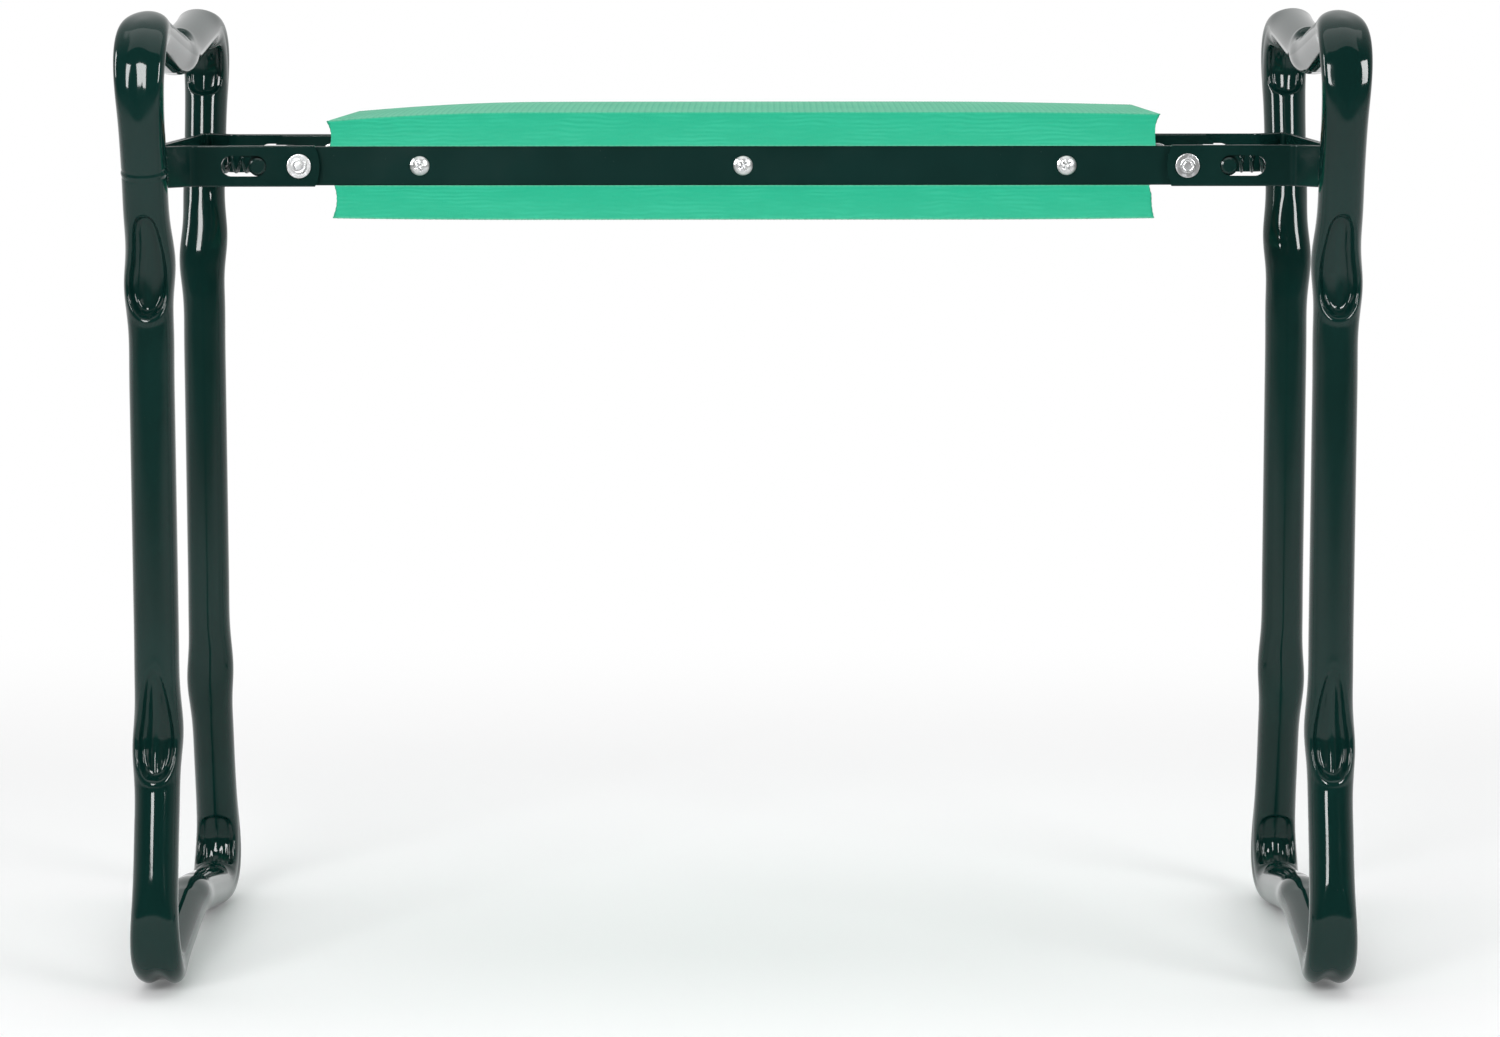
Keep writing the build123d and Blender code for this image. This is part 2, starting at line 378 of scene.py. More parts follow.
@dataclass(frozen=True)
class FoamSkin:
    """Mint closed-cell foam: studded moulded faces, and cut faces with a wavy grain and open cells.

    The piece's attribute "cut" says where a face is cut.
    """

    name: str
    green: tuple = (0.014, 0.465, 0.265, 1.0)
    pale: tuple = (0.032, 0.535, 0.320, 1.0)
    moulded: tuple = (0.110, 0.530, 0.330, 1.0)
    # painted shade: the darker green that the moulded faces take in the hollows between their studs
    groove: tuple = (0.040, 0.430, 0.250, 1.0)
    roughness: float = 0.62
    grain_pitch: float = 2.1 * MM
    stud_pitch: float = 3.0 * MM
    wave_length: float = 26.0 * MM
    cell_depth: float = 0.10 * MM

    def material(self) -> bpy.types.Material:
        """Builds the node tree: the grain is a sine of the height, and the painted shade between the studs is
        a sine along X.

        Returns:
            The finished material.
        """
        shader = Shader.for_material(self.name)
        cut = shader.node("ShaderNodeAttribute", {"attribute_name": "cut"}, {}, "Fac")
        wander = shader.noise(1.0 / self.wave_length, 2.0, (1.0, 1.0, 2.2))
        streak = shader.noise(260.0, 3.0, (0.22, 0.22, 1.6))
        point = shader.place()
        height = shader.node("ShaderNodeSeparateXYZ", {}, {0: point}, "Z")
        along = shader.node("ShaderNodeSeparateXYZ", {}, {0: point}, "X")
        turns = 2.0 * math.pi / self.grain_pitch
        grain = (height * turns + wander * 16.0 + streak * 3.0).sine() * 0.5 + 0.5
        patches = shader.noise(34.0, 2.0, (1.0, 1.0, 3.0)).rise(0.40, 0.62)
        cells = shader.cells(1500.0)
        cloud = shader.noise(18.0, 3.0)
        drawn = cut * patches * grain
        sliced = shader.mix(drawn * 0.55 + streak.rise(0.45, 0.75) * 0.25, self.green, self.pale)
        # painted shade: the moulded faces darken to that green in the hollows between the studs, mixed with a
        # random cloudy tone
        groove_shade_mask = (along * (2.0 * math.pi / self.stud_pitch) + wander * 2.0).sine().rise(0.1, 0.8)
        moulded_tone_and_groove_shade = shader.mix(groove_shade_mask * 0.45 + cloud.rise(0.3, 0.7) * 0.2, self.moulded, self.groove)
        shader.set(
            base_color=shader.mix(cut, moulded_tone_and_groove_shade, sliced),
            roughness=self.roughness + cells * 0.18 + cloud * 0.08,
            specular_ior_level=0.22,
            sheen_weight=0.12,
            sheen_roughness=0.45,
            normal=shader.bump(cells * 0.5 + drawn * 0.9 + streak * 0.5, self.cell_depth),
        )
        return shader.owner


@dataclass(frozen=True)
class BoardFinish:
    """Pressed board of long pale chips, with darker glue lines between its plies at the edges."""

    name: str
    chip: tuple = (0.42, 0.28, 0.16, 1.0)
    glue: tuple = (0.19, 0.11, 0.055, 1.0)
    ply: float = 2.4 * MM
    grain_depth: float = 0.12 * MM

    def material(self) -> bpy.types.Material:
        """Builds the node tree: plies are a sine of the height, chips are noise drawn out along X.

        Returns:
            The finished material.
        """
        shader = Shader.for_material(self.name)
        chips = shader.noise(240.0, 4.0, (0.2, 1.0, 1.0))
        wander = shader.noise(40.0, 2.0)
        height = shader.node("ShaderNodeSeparateXYZ", {}, {0: shader.place()}, "Z")
        plies = (height * (2.0 * math.pi / self.ply) + wander * 1.5).sine().rise(0.55, 0.95)
        shader.set(
            base_color=shader.mix(plies * 0.5 + chips.rise(0.35, 0.75) * 0.5, self.chip, self.glue),
            roughness=0.72 + chips * 0.2,
            normal=shader.bump(chips - plies * 0.4, self.grain_depth),
        )
        return shader.owner


# --- Surfaces --------------------------------------------------------------------------------------

@dataclass
class Skin:
    """A closed surface: points, and faces of three or four corners wound outwards."""

    points: np.ndarray
    quads: np.ndarray
    triangles: np.ndarray = field(default_factory=lambda: np.zeros((0, 3), int))

    def __post_init__(self) -> None:
        """Turns all faces round where the volume they enclose comes out negative."""
        first = [self.quads[:, [0, 1, 2]], self.quads[:, [0, 2, 3]], self.triangles]
        a, b, c = (self.points[np.concatenate(first)[:, corner]] for corner in range(3))
        if np.einsum("ij,ij->i", a, np.cross(b, c)).sum() < 0:
            self.quads = self.quads[:, ::-1]
            self.triangles = self.triangles[:, ::-1]

    @classmethod
    def from_grid(cls, grid: np.ndarray, ring: bool = False) -> "Skin":
        """Covers a grid whose columns close on themselves.

        Args:
            grid: Points as rows by columns by 3.
            ring: True where the last row also joins the first; otherwise each end row is closed by a fan
                about its middle.

        Returns:
            The surface.
        """
        rows, columns = grid.shape[:2]
        index = np.arange(rows * columns).reshape(rows, columns)
        below = index if ring else index[:-1]
        above = np.roll(index, -1, axis=0) if ring else index[1:]
        quads = np.stack([below, np.roll(below, -1, 1), np.roll(above, -1, 1), above], -1).reshape(-1, 4)
        points = grid.reshape(-1, 3)
        if ring:
            return cls(points, quads)
        poles = np.array([grid[0].mean(0), grid[-1].mean(0)])
        start = np.stack([np.roll(index[0], -1), index[0], np.full(columns, len(points))], -1)
        finish = np.stack([index[-1], np.roll(index[-1], -1), np.full(columns, len(points) + 1)], -1)
        return cls(np.concatenate([points, poles]), quads, np.concatenate([start, finish]))

    @classmethod
    def joined(cls, skins: list["Skin"]) -> "Skin":
        """Several separate closed surfaces as one group.

        Args:
            skins: The surfaces.

        Returns:
            The group.
        """
        starts = np.cumsum([0] + [len(skin.points) for skin in skins[:-1]])
        return cls(
            np.concatenate([skin.points for skin in skins]),
            np.concatenate([skin.quads + start for skin, start in zip(skins, starts)]),
            np.concatenate([skin.triangles + start for skin, start in zip(skins, starts)]),
        )

    def at(self, end: End) -> "Skin":
        """The same surface at that end: the left one as it is, the right one turned half a turn about Z."""
        turn = np.array([1.0, 1.0, 1.0]) if end is End.LEFT else np.array([-1.0, -1.0, 1.0])
        return Skin(self.points * turn, self.quads, self.triangles)

    def piece(self, name: str, material: bpy.types.Material, crease: float = 180.0) -> bpy.types.Object:
        """Makes the surface an object.

        Args:
            name: The object's name.
            material: Its finish.
            crease: Edges that turn by more degrees than this are drawn sharp.

        Returns:
            The object, at the origin, with its place in its mesh.
        """
        mesh = bpy.data.meshes.new(name)
        mesh.from_pydata(self.points.tolist(), [], self.quads.tolist() + self.triangles.tolist())
        mesh.materials.append(material)
        mesh.polygons.foreach_set("use_smooth", np.ones(len(mesh.polygons), bool))
        if crease < 180.0:
            mesh.set_sharp_from_angle(angle=math.radians(crease))
        mesh.update()
        made = bpy.data.objects.new(name, mesh)
        bpy.context.scene.collection.objects.link(made)
        return made


def smooth(value: np.ndarray, low: float, high: float) -> np.ndarray:
    """Climbs from 0 at low to 1 at high as 3t² - 2t³, or falls where low is the larger."""
    share = np.clip((value - low) / (high - low), 0.0, 1.0)
    return share * share * (3.0 - 2.0 * share)


def hump(value: np.ndarray, width: float) -> np.ndarray:
    """A bell of height 1 about 0: e to the power of minus the square of value over width."""
    return np.exp(-((value / width) ** 2))


def arc(centre: tuple, radius: float, start: float, finish: float, count: int = 7) -> list:
    """Points of an arc from one angle in degrees to another."""
    angles = np.radians(np.linspace(start, finish, count))
    return [(centre[0] + radius * math.cos(a), centre[1] + radius * math.sin(a)) for a in angles]


def lathe(profile: list, axis_point: np.ndarray, outward: float, columns: int = 64) -> np.ndarray:
    """Turns a profile about an axis along Y.

    The point is the axis point + radius * (cos angle, 0, sin angle) + height * (0, outward, 0).

    Args:
        profile: (radius, height) pairs, heights measured outwards.
        axis_point: The point of height 0 on the axis.
        outward: The sign of Y that heights are measured along.
        columns: The number of points round the axis.

    Returns:
        The grid, one row for each pair.
    """
    radius, height = np.array(profile).T[:, :, None]
    angle = np.linspace(0.0, 2.0 * math.pi, columns, endpoint=False)[None, :]
    grid = np.stack([radius * np.cos(angle), outward * height + 0.0 * angle, radius * np.sin(angle)], -1)
    return grid + axis_point


def fit(piece: bpy.types.Object, body: str, slot: str, *nodes: str) -> bpy.types.Object:
    """Rides a piece on its body, hides the nodes it stands for, and logs it.

    Args:
        piece: The piece.
        body: The body that it moves with.
        slot: The record's material slot; not used.
        nodes: The frame's nodes that it stands for.

    Returns:
        The piece.
    """
    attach(piece, body)
    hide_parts(*nodes)
    log.info("%s rides on %s and stands for %s", piece.name, body, ", ".join(nodes))
    return piece


def dress(name: str, material: bpy.types.Material) -> None:
    """Gives a frame node its finish and logs it.

    Args:
        name: The node.
        material: Its finish.
    """
    node = frame["nodes"][name]
    if not node.material_slots:
        node.data.materials.append(material)
    for material_slot in node.material_slots:
        material_slot.material = material
    log.info("%s keeps its shape and wears %s", name, material.name)


# --- Leg frame -------------------------------------------------------------------------------------

@dataclass(frozen=True)
class Dent:
    """An egg-shaped hollow that a bending tool presses into one side of a tube.

    The egg's measure q is the root of (across / (half_width * taper))² + (along / reach)^(2 * power). The
    taper narrows the egg towards its long end, and the power is long_power there and short_power at the
    short end. The wall drops from q = 1 to q = floor, where it is flat, and the depth fades towards the
    long end. Ripples lie across the tube, and a raised rim runs round the egg, lower at the long end.
    """

    long_reach: float
    short_reach: float
    half_width: float
    depth: float
    floor: float = 0.50
    narrowing: float = 0.45     # share of the width lost at the long end
    fade: float = 0.45          # share of the depth lost towards the long end
    ridge: float = 0.0          # share of the depth that a ridge along the middle stands up by
    ridge_width: float = 2.6 * MM
    rim: float = 0.0
    rim_at: float = 1.08        # the rim's q, how far it spreads in q, and the share it loses at the long end
    rim_spread: float = 0.14
    rim_loss: float = 0.8
    ripple: float = 0.0
    ripple_full: float = 0.7    # the q inside which ripples have their full height
    ripple_pitch: float = 3.1 * MM
    ripple_place: float = -9.0 * MM
    ripple_length: float = 5.0 * MM
    long_power: float = 2.0
    short_power: float = 2.0
    place: float = 0.0          # the egg's middle along the tube, from the bend's middle

    def press(self, along: np.ndarray, across: np.ndarray) -> np.ndarray:
        """How far the wall is pressed in.

        Args:
            along: Distance along the tube from the bend's middle, positive towards the egg's long end.
            across: Distance across the tube from its middle plane.

        Returns:
            The depth; a raised rim is negative.
        """
        along = along - self.place
        stretch = np.minimum(np.abs(along) / np.where(along > 0, self.long_reach, self.short_reach), 2.0)
        long_share = np.clip(along / self.long_reach, 0.0, 1.0)
        taper = 1.0 - self.narrowing * long_share
        power = np.where(along > 0, self.long_power, self.short_power)
        q = np.hypot(across / (self.half_width * taper), stretch ** power)
        slope = 1.0 - self.fade * long_share
        middle = 1.0 - self.ridge * hump(across, self.ridge_width)
        hollow = self.depth * slope * smooth(q, 1.0, self.floor) * middle
        rippled = hump(along - self.ripple_place, self.ripple_length) * smooth(q, 1.0, self.ripple_full)
        waves = self.ripple * np.cos(2.0 * math.pi * across / self.ripple_pitch) * rippled
        lip = self.rim * hump(q - self.rim_at, self.rim_spread) * (1.0 - self.rim_loss * long_share)
        return hollow + waves - lip


@dataclass(frozen=True)
class Bend:
    """One bend of the loop: where it is, which way it faces, and what it does to the tube."""

    middle: float               # distance along the loop
    facing: int                 # +1 where the hollow is on the loop's outside, -1 on its inside
    upward: int                 # +1 where the hollow's long end lies further along the loop
    hollow: Dent
    backs: tuple                # the dents on the other side
    widening: float             # share added to the tube's width
    spread: float               # distance along the tube over which it is wider
    sway: float = 0.0           # sideways wander of the tube through the bend
    squaring: float = 0.0       # share by which the back's shoulders are pushed out sideways


@dataclass
class LegFrame:
    """A leg: one closed loop of round tube, crushed at its ten bends, with a weld ring at its seam."""

    end: End
    enamel: bpy.types.Material
    corner_radius: float = 26.0 * MM
    waist_radius: float = 60.0 * MM
    bar_radius: float = 45.0 * MM
    foot_depth_loss: float = 4.0 * MM
    waist_half_depth: float = 100.0 * MM
    upper_waist_z: float = 353.0 * MM
    lower_waist_z: float = 125.0 * MM
    handle_dip: float = 13.0 * MM
    foot_bar_rise: float = 14.0 * MM
    seam_z: float = 402.5 * MM
    seam_bead: float = 0.24 * MM
    bead_width: float = 0.9 * MM
    groove_share: float = 0.5       # depth of the groove beside the bead, as a share of the bead's height
    groove_place: float = 1.9 * MM
    groove_width: float = 0.6 * MM
    facing_blend: float = 0.35      # share of the radius over which a face's dents fade in
    sway_half_wave: float = 26.0 * MM
    sway_reach: float = 30.0 * MM
    arc_points: int = 41
    columns: int = 76
    fine_step: float = 0.2 * MM
    straight_spacing: float = 1.7 * MM
    bend_spacing: float = 0.95 * MM
    seam_spacing: float = 0.30 * MM
    bend_reach: tuple = (46 * MM, 30 * MM)     # from a bend to where its sections are wide and close apart
    seam_reach: tuple = (6 * MM, 3 * MM)
    softening: float = 3.6 * MM

    upper_waist_dent = Dent(34 * MM, 22 * MM, 9.3 * MM, 7.3 * MM, floor=0.58, fade=0.34, narrowing=0.30,
                            ridge=0.16, rim=0.5 * MM, ripple=0.08 * MM, long_power=4)
    lower_waist_dent = Dent(38 * MM, 23 * MM, 9.3 * MM, 6.6 * MM, floor=0.55, fade=0.42, narrowing=0.46,
                            ridge=0.36, rim=0.5 * MM, ripple=0.08 * MM, long_power=2.5)
    corner_dent = Dent(31 * MM, 15 * MM, 9.9 * MM, 6.2 * MM, floor=0.6, fade=0.5, ridge=0.12, rim=0.5 * MM,
                       ripple=0.28 * MM, ripple_place=1.0 * MM, narrowing=0.1, long_power=6)
    handle_dent = Dent(21 * MM, 21 * MM, 9.0 * MM, 4.4 * MM, narrowing=0.2, fade=0.0, rim=0.35 * MM,
                       ripple=0.15 * MM, ripple_place=0.0)
    foot_dent = Dent(19 * MM, 19 * MM, 8.6 * MM, 3.4 * MM, narrowing=0.2, fade=0.0, rim=0.3 * MM)
    waist_back = Dent(26 * MM, 26 * MM, 10.5 * MM, 0.9 * MM, floor=0.1, narrowing=0.0, fade=0.0)
    top_back = Dent(34 * MM, 30 * MM, 12.5 * MM, 2.8 * MM, floor=0.25, narrowing=0.15, fade=0.30,
                    ripple=0.14 * MM, ripple_pitch=6.0 * MM, ripple_place=17 * MM, ripple_length=12 * MM)
    foot_back = Dent(40 * MM, 34 * MM, 9.4 * MM, 1.9 * MM, floor=0.0, narrowing=0.30, fade=0.20)
    top_crease = Dent(20 * MM, 14 * MM, 5.0 * MM, 0.7 * MM, floor=0.0, narrowing=0.3, place=14 * MM)
    foot_crease = Dent(15 * MM, 17 * MM, 5.4 * MM, 2.7 * MM, floor=0.0, narrowing=0.3, fade=0.6,
                       place=-13 * MM)
    bar_back = Dent(20 * MM, 20 * MM, 10.0 * MM, 0.7 * MM, floor=0.1, narrowing=0.0, fade=0.0)

    def __post_init__(self) -> None:
        """Takes the loop's outer sizes from the left leg's node."""
        low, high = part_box("left_leg_frame")
        self.radius = (high.x - low.x) / 2
        self.plane_x = (high.x + low.x) / 2
        self.reach = high.y - self.radius
        self.top_z = high.z
        self.corners = self._corners()

    def _corners(self) -> list:
        """Where the straight runs of the loop would cross.

        Returns:
            (y, z, bend radius) of each bend, from the seam up the front upright and once round.
        """
        bend, tube = self.corner_radius, self.radius
        handle_middle = (0.0, self.top_z - tube - self.handle_dip)
        foot_middle = (0.0, tube + self.foot_bar_rise)
        upper = (self.waist_half_depth, self.upper_waist_z)
        lower = (self.waist_half_depth, self.lower_waist_z)
        top = tangent_crossing((self.reach - bend, self.top_z - tube - bend), bend, upper, handle_middle)
        foot_reach = self.reach - self.foot_depth_loss / 2
        foot = tangent_crossing((foot_reach - bend, tube + bend), bend, foot_middle, lower)
        rear = [(*top, bend), (*upper, self.waist_radius), (*lower, self.waist_radius), (*foot, bend)]
        front = [(-y, z, radius) for y, z, radius in reversed(rear)]
        middles = [(*handle_middle, self.bar_radius), (*foot_middle, self.bar_radius)]
        return front[-1:] + middles[:1] + rear + middles[1:] + front[:-1]

    def upright(self, z: float) -> np.ndarray:
        """The centre of the front upright at a height between the upper waist and the handle's corner.

        Args:
            z: The height.

        Returns:
            The centre's point.
        """
        top = self.corners[0]
        lean = (-top[0] - self.waist_half_depth) / (top[1] - self.upper_waist_z)
        return np.array([self.plane_x, -self.waist_half_depth - lean * (z - self.upper_waist_z), z])

    def lean(self) -> np.ndarray:
        """The direction of the front upright above its waist, upwards."""
        rise = self.upright(1.0) - self.upright(0.0)
        return rise / np.linalg.norm(rise)

    def centreline(self) -> tuple[np.ndarray, list]:
        """The tube's centre at even small steps: straight runs joined by tangent arcs, slightly softened.

        Each arc turns from its first tangent point about a centre one radius to the side. The softening is a
        moving average with a bell-shaped weight, done once round the loop in frequency space.

        Returns:
            The points as (y, z), from the seam, and the distance along them of each bend's middle.
        """
        path = np.array([corner[:2] for corner in self.corners])
        radii = np.array([corner[2] for corner in self.corners])
        arriving = path - np.roll(path, 1, 0)
        arriving /= np.linalg.norm(arriving, axis=1)[:, None]
        leaving = np.roll(arriving, -1, 0)
        turn = np.arctan2(arriving[:, 0] * leaving[:, 1] - arriving[:, 1] * leaving[:, 0],
                          (arriving * leaving).sum(1))
        tangent = radii * np.tan(np.abs(turn) / 2)
        start = path - arriving * tangent[:, None]
        left = np.stack([-arriving[:, 1], arriving[:, 0]], -1) * (np.sign(turn) * radii)[:, None]
        swung = turn[:, None] * np.linspace(0.0, 1.0, self.arc_points)[None, :]
        spoke_y = -left[:, :1] * np.cos(swung) + left[:, 1:] * np.sin(swung)
        spoke_z = -left[:, 1:] * np.cos(swung) - left[:, :1] * np.sin(swung)
        arcs = (start + left)[:, None, :] + np.stack([spoke_y, spoke_z], -1)
        seam = self.upright(self.seam_z)[1:]
        rough = np.concatenate([seam[None], arcs.reshape(-1, 2), seam[None]])
        length = np.concatenate([[0.0], np.cumsum(np.linalg.norm(np.diff(rough, axis=0), axis=1))])
        count = int(length[-1] / self.fine_step)
        along = np.arange(count) * length[-1] / count
        fine = np.stack([np.interp(along, length, rough[:, axis]) for axis in range(2)], -1)
        frequency = np.fft.fftfreq(count, length[-1] / count)[:, None]
        weight = np.exp(-2.0 * (math.pi * frequency * self.softening) ** 2)
        fine = np.fft.ifft(np.fft.fft(fine, axis=0) * weight, axis=0).real
        middles = length[1 + self.arc_points // 2::self.arc_points].tolist()
        return np.column_stack([along, fine]), middles

    def bends(self, middles: list) -> list:
        """The ten bends in order along the loop, with what each does to the tube.

        Args:
            middles: Distance of each bend's middle along the loop.

        Returns:
            The bends.
        """
        corner = {"hollow": self.corner_dent, "widening": 0.08, "spread": 26 * MM, "squaring": 0.40}
        top = {"backs": (self.top_back, self.top_crease), **corner}
        foot = {"backs": (self.foot_back, self.foot_crease), **corner}
        waist = {"backs": (self.waist_back,), "widening": 0.13, "spread": 17 * MM}
        upper = {"hollow": self.upper_waist_dent, "sway": 0.7 * MM, **waist}
        lower = {"hollow": self.lower_waist_dent, "sway": 0.4 * MM, **waist}
        bar = {"backs": (self.bar_back,), "widening": 0.08, "spread": 14 * MM}
        plan = [(-1, -1, top), (1, 1, {"hollow": self.handle_dent, **bar}), (-1, 1, top),
                (1, -1, upper), (1, -1, lower), (-1, -1, foot),
                (1, 1, {"hollow": self.foot_dent, **bar}), (-1, 1, foot), (1, 1, lower), (1, 1, upper)]
        return [Bend(middle, *plan_entry[:2], **plan_entry[2]) for middle, plan_entry in zip(middles, plan)]

    def rows(self, along: np.ndarray, bends: list) -> np.ndarray:
        """Distances of the sections along the loop, closer together at the bends and the seam.

        The number of sections up to a point is the integral of one over the wanted spacing.

        Args:
            along: The fine distances along the loop.
            bends: The loop's bends.

        Returns:
            The sections' distances.
        """
        total = along[-1] + self.fine_step
        crowd = np.full(len(along), 1.0 / self.straight_spacing)
        for bend in bends:
            away = np.abs((along - bend.middle + total / 2) % total - total / 2)
            crowd = np.maximum(crowd, smooth(away, *self.bend_reach) / self.bend_spacing)
        seam_away = np.minimum(along, total - along)
        crowd = np.maximum(crowd, smooth(seam_away, *self.seam_reach) / self.seam_spacing)
        tally = np.cumsum(crowd) * total / len(along)
        count = int(tally[-1])
        return np.interp(np.arange(count) * tally[-1] / count, tally, along)

    def grid(self) -> np.ndarray:
        """The crushed tube as a grid.

        A section's point is centre + out * outward direction + side * X, where (out, side) starts as the
        circle R (cos angle, sin angle). Each bend takes its hollow's depth from the side it faces, its back's
        depth from the other, and widens the section, its back's shoulders most. The seam adds a low bead with
        a groove on each side.

        Returns:
            Points as sections by columns by 3, for the left leg.
        """
        line, middles = self.centreline()
        bends = self.bends(middles)
        along = line[:, 0]
        section = self.rows(along, bends)
        total = along[-1] + self.fine_step
        slope = np.roll(line[:, 1:], -1, 0) - np.roll(line[:, 1:], 1, 0)
        slope /= np.linalg.norm(slope, axis=1)[:, None]
        centre, heading = (
            np.stack([np.interp(section, along, part[:, axis], period=total) for axis in range(2)], -1)
            for part in (line[:, 1:], slope))
        angle = np.linspace(0.0, 2.0 * math.pi, self.columns, endpoint=False)
        bead_at = np.minimum(section, total - section)
        groove = self.groove_share * hump(bead_at - self.groove_place, self.groove_width)
        bead = self.seam_bead * (hump(bead_at, self.bead_width) - groove)
        swell = (self.radius + bead)[:, None]
        out = swell * np.cos(angle)[None, :]
        side = swell * np.sin(angle)[None, :]
        round_out = out.copy()
        across = self.radius * np.sin(angle)[None, :]
        blend = self.facing_blend * self.radius
        for bend in bends:
            away = bend.upward * ((section - bend.middle + total / 2) % total - total / 2)
            away = away[:, None]
            out -= bend.facing * smooth(bend.facing * round_out, 0.0, blend) * bend.hollow.press(away, across)
            for dent in bend.backs:
                out += bend.facing * smooth(-bend.facing * round_out, 0.0, blend) * dent.press(away, across)
            behind = np.clip(-bend.facing * np.cos(angle), 0.0, 1.0)[None, :]
            side += side * (bend.widening + bend.squaring * behind) * hump(away, bend.spread)
            side += bend.sway * np.sin(away * math.pi / self.sway_half_wave) * hump(away, self.sway_reach)
        outward = np.stack([-heading[:, 1], heading[:, 0]], -1)
        y = centre[:, :1] + out * outward[:, :1]
        z = centre[:, 1:] + out * outward[:, 1:]
        return np.stack([self.plane_x + side, y, z], -1)

    def build(self) -> bpy.types.Object:
        """Makes the leg and puts it in the frame.

        Returns:
            The leg.
        """
        label = self.end.label
        skin = Skin.from_grid(self.grid(), ring=True).at(self.end)
        piece = skin.piece(f"{label}_leg_tube", self.enamel)
        return fit(piece, f"{label}_leg", "leg_enamel", f"{label}_leg_frame")


def tangent_crossing(centre: tuple, radius: float, start: tuple, finish: tuple) -> tuple:
    """Where two lines cross that touch a circle's far side and pass through two points.

    Args:
        centre: The circle's centre.
        radius: Its radius.
        start: A point that the first line passes through.
        finish: A point that the second line passes through.

    Returns:
        The crossing.
    """
    lines = []
    for point, side in ((start, -1), (finish, 1)):
        dy, dz = centre[0] - point[0], centre[1] - point[1]
        angle = math.atan2(dz, dy) + side * math.asin(radius / math.hypot(dy, dz))
        lines.append((*point, math.cos(angle), math.sin(angle)))
    (ay, az, uy, uz), (by, bz, vy, vz) = lines
    along = ((by - ay) * vz - (bz - az) * vy) / (uy * vz - uz * vy)
    return ay + along * uy, az + along * uz


@dataclass
class BracketWelds:
    """The four weld beads between a bracket strap's folds and the leaning uprights."""

    end: End
    leg: LegFrame
    enamel: bpy.types.Material
    bead_radius: float = 2.6 * MM
    outer_root: tuple = (2.45 * MM, 1.2 * MM)
    inner_root: tuple = (-6.6 * MM, -1.0 * MM)
    ripple: float = 0.22 * MM
    ripple_pitch: float = 1.5 * MM
    set_in: float = 1.0 * MM        # how far the beads' base lies outboard of the tube's middle plane
    rings: int = 55
    columns: int = 24

    def bead(self, root: np.ndarray, lean: np.ndarray, height: float) -> Skin:
        """One bead: a round bar that swells at each ripple and closes in a half ball at both ends.

        Args:
            root: The bead's lower end.
            lean: Its direction.
            height: Its length.

        Returns:
            The bead's surface.
        """
        along = np.linspace(0.0, 1.0, self.rings + 2)[1:-1]
        from_end = np.minimum(along, 1.0 - along) * height
        closing = np.sqrt(np.clip(1.0 - (1.0 - from_end / self.bead_radius).clip(0.0) ** 2, 0.02, 1.0))
        waves = np.abs(np.sin(math.pi * along * height / self.ripple_pitch))
        radius = (self.bead_radius + self.ripple * (waves - 0.5)) * closing
        angle = np.linspace(0.0, 2.0 * math.pi, self.columns, endpoint=False)
        across = np.cross(lean, [1.0, 0.0, 0.0])
        spoke = np.cos(angle)[:, None] * np.array([1.0, 0.0, 0.0]) + np.sin(angle)[:, None] * across
        centres = root + along[:, None] * height * lean
        return Skin.from_grid(centres[:, None, :] + radius[:, None, None] * spoke[None])

    def build(self) -> bpy.types.Object:
        """Makes the beads and puts them in the frame.

        Returns:
            The beads as one group.
        """
        low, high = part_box("left_bracket_strap")
        base_x = self.leg.plane_x + self.set_in
        start_z = low.z + self.bead_radius
        height = high.z - low.z - 2 * self.bead_radius
        beads = []
        for outboard, inwards in (self.outer_root, self.inner_root):
            inner_y = self.leg.upright(start_z)[1] + self.leg.radius
            root = np.array([base_x - outboard, inner_y + inwards, start_z])
            bead = self.bead(root, self.leg.lean(), height)
            beads += [bead, Skin(bead.points * [1.0, -1.0, 1.0], bead.quads, bead.triangles)]
        label = self.end.label
        piece = Skin.joined(beads).at(self.end).piece(f"{label}_bracket_welds", self.enamel)
        return fit(piece, f"{label}_leg", "strap_enamel", f"{label}_weld_beads")


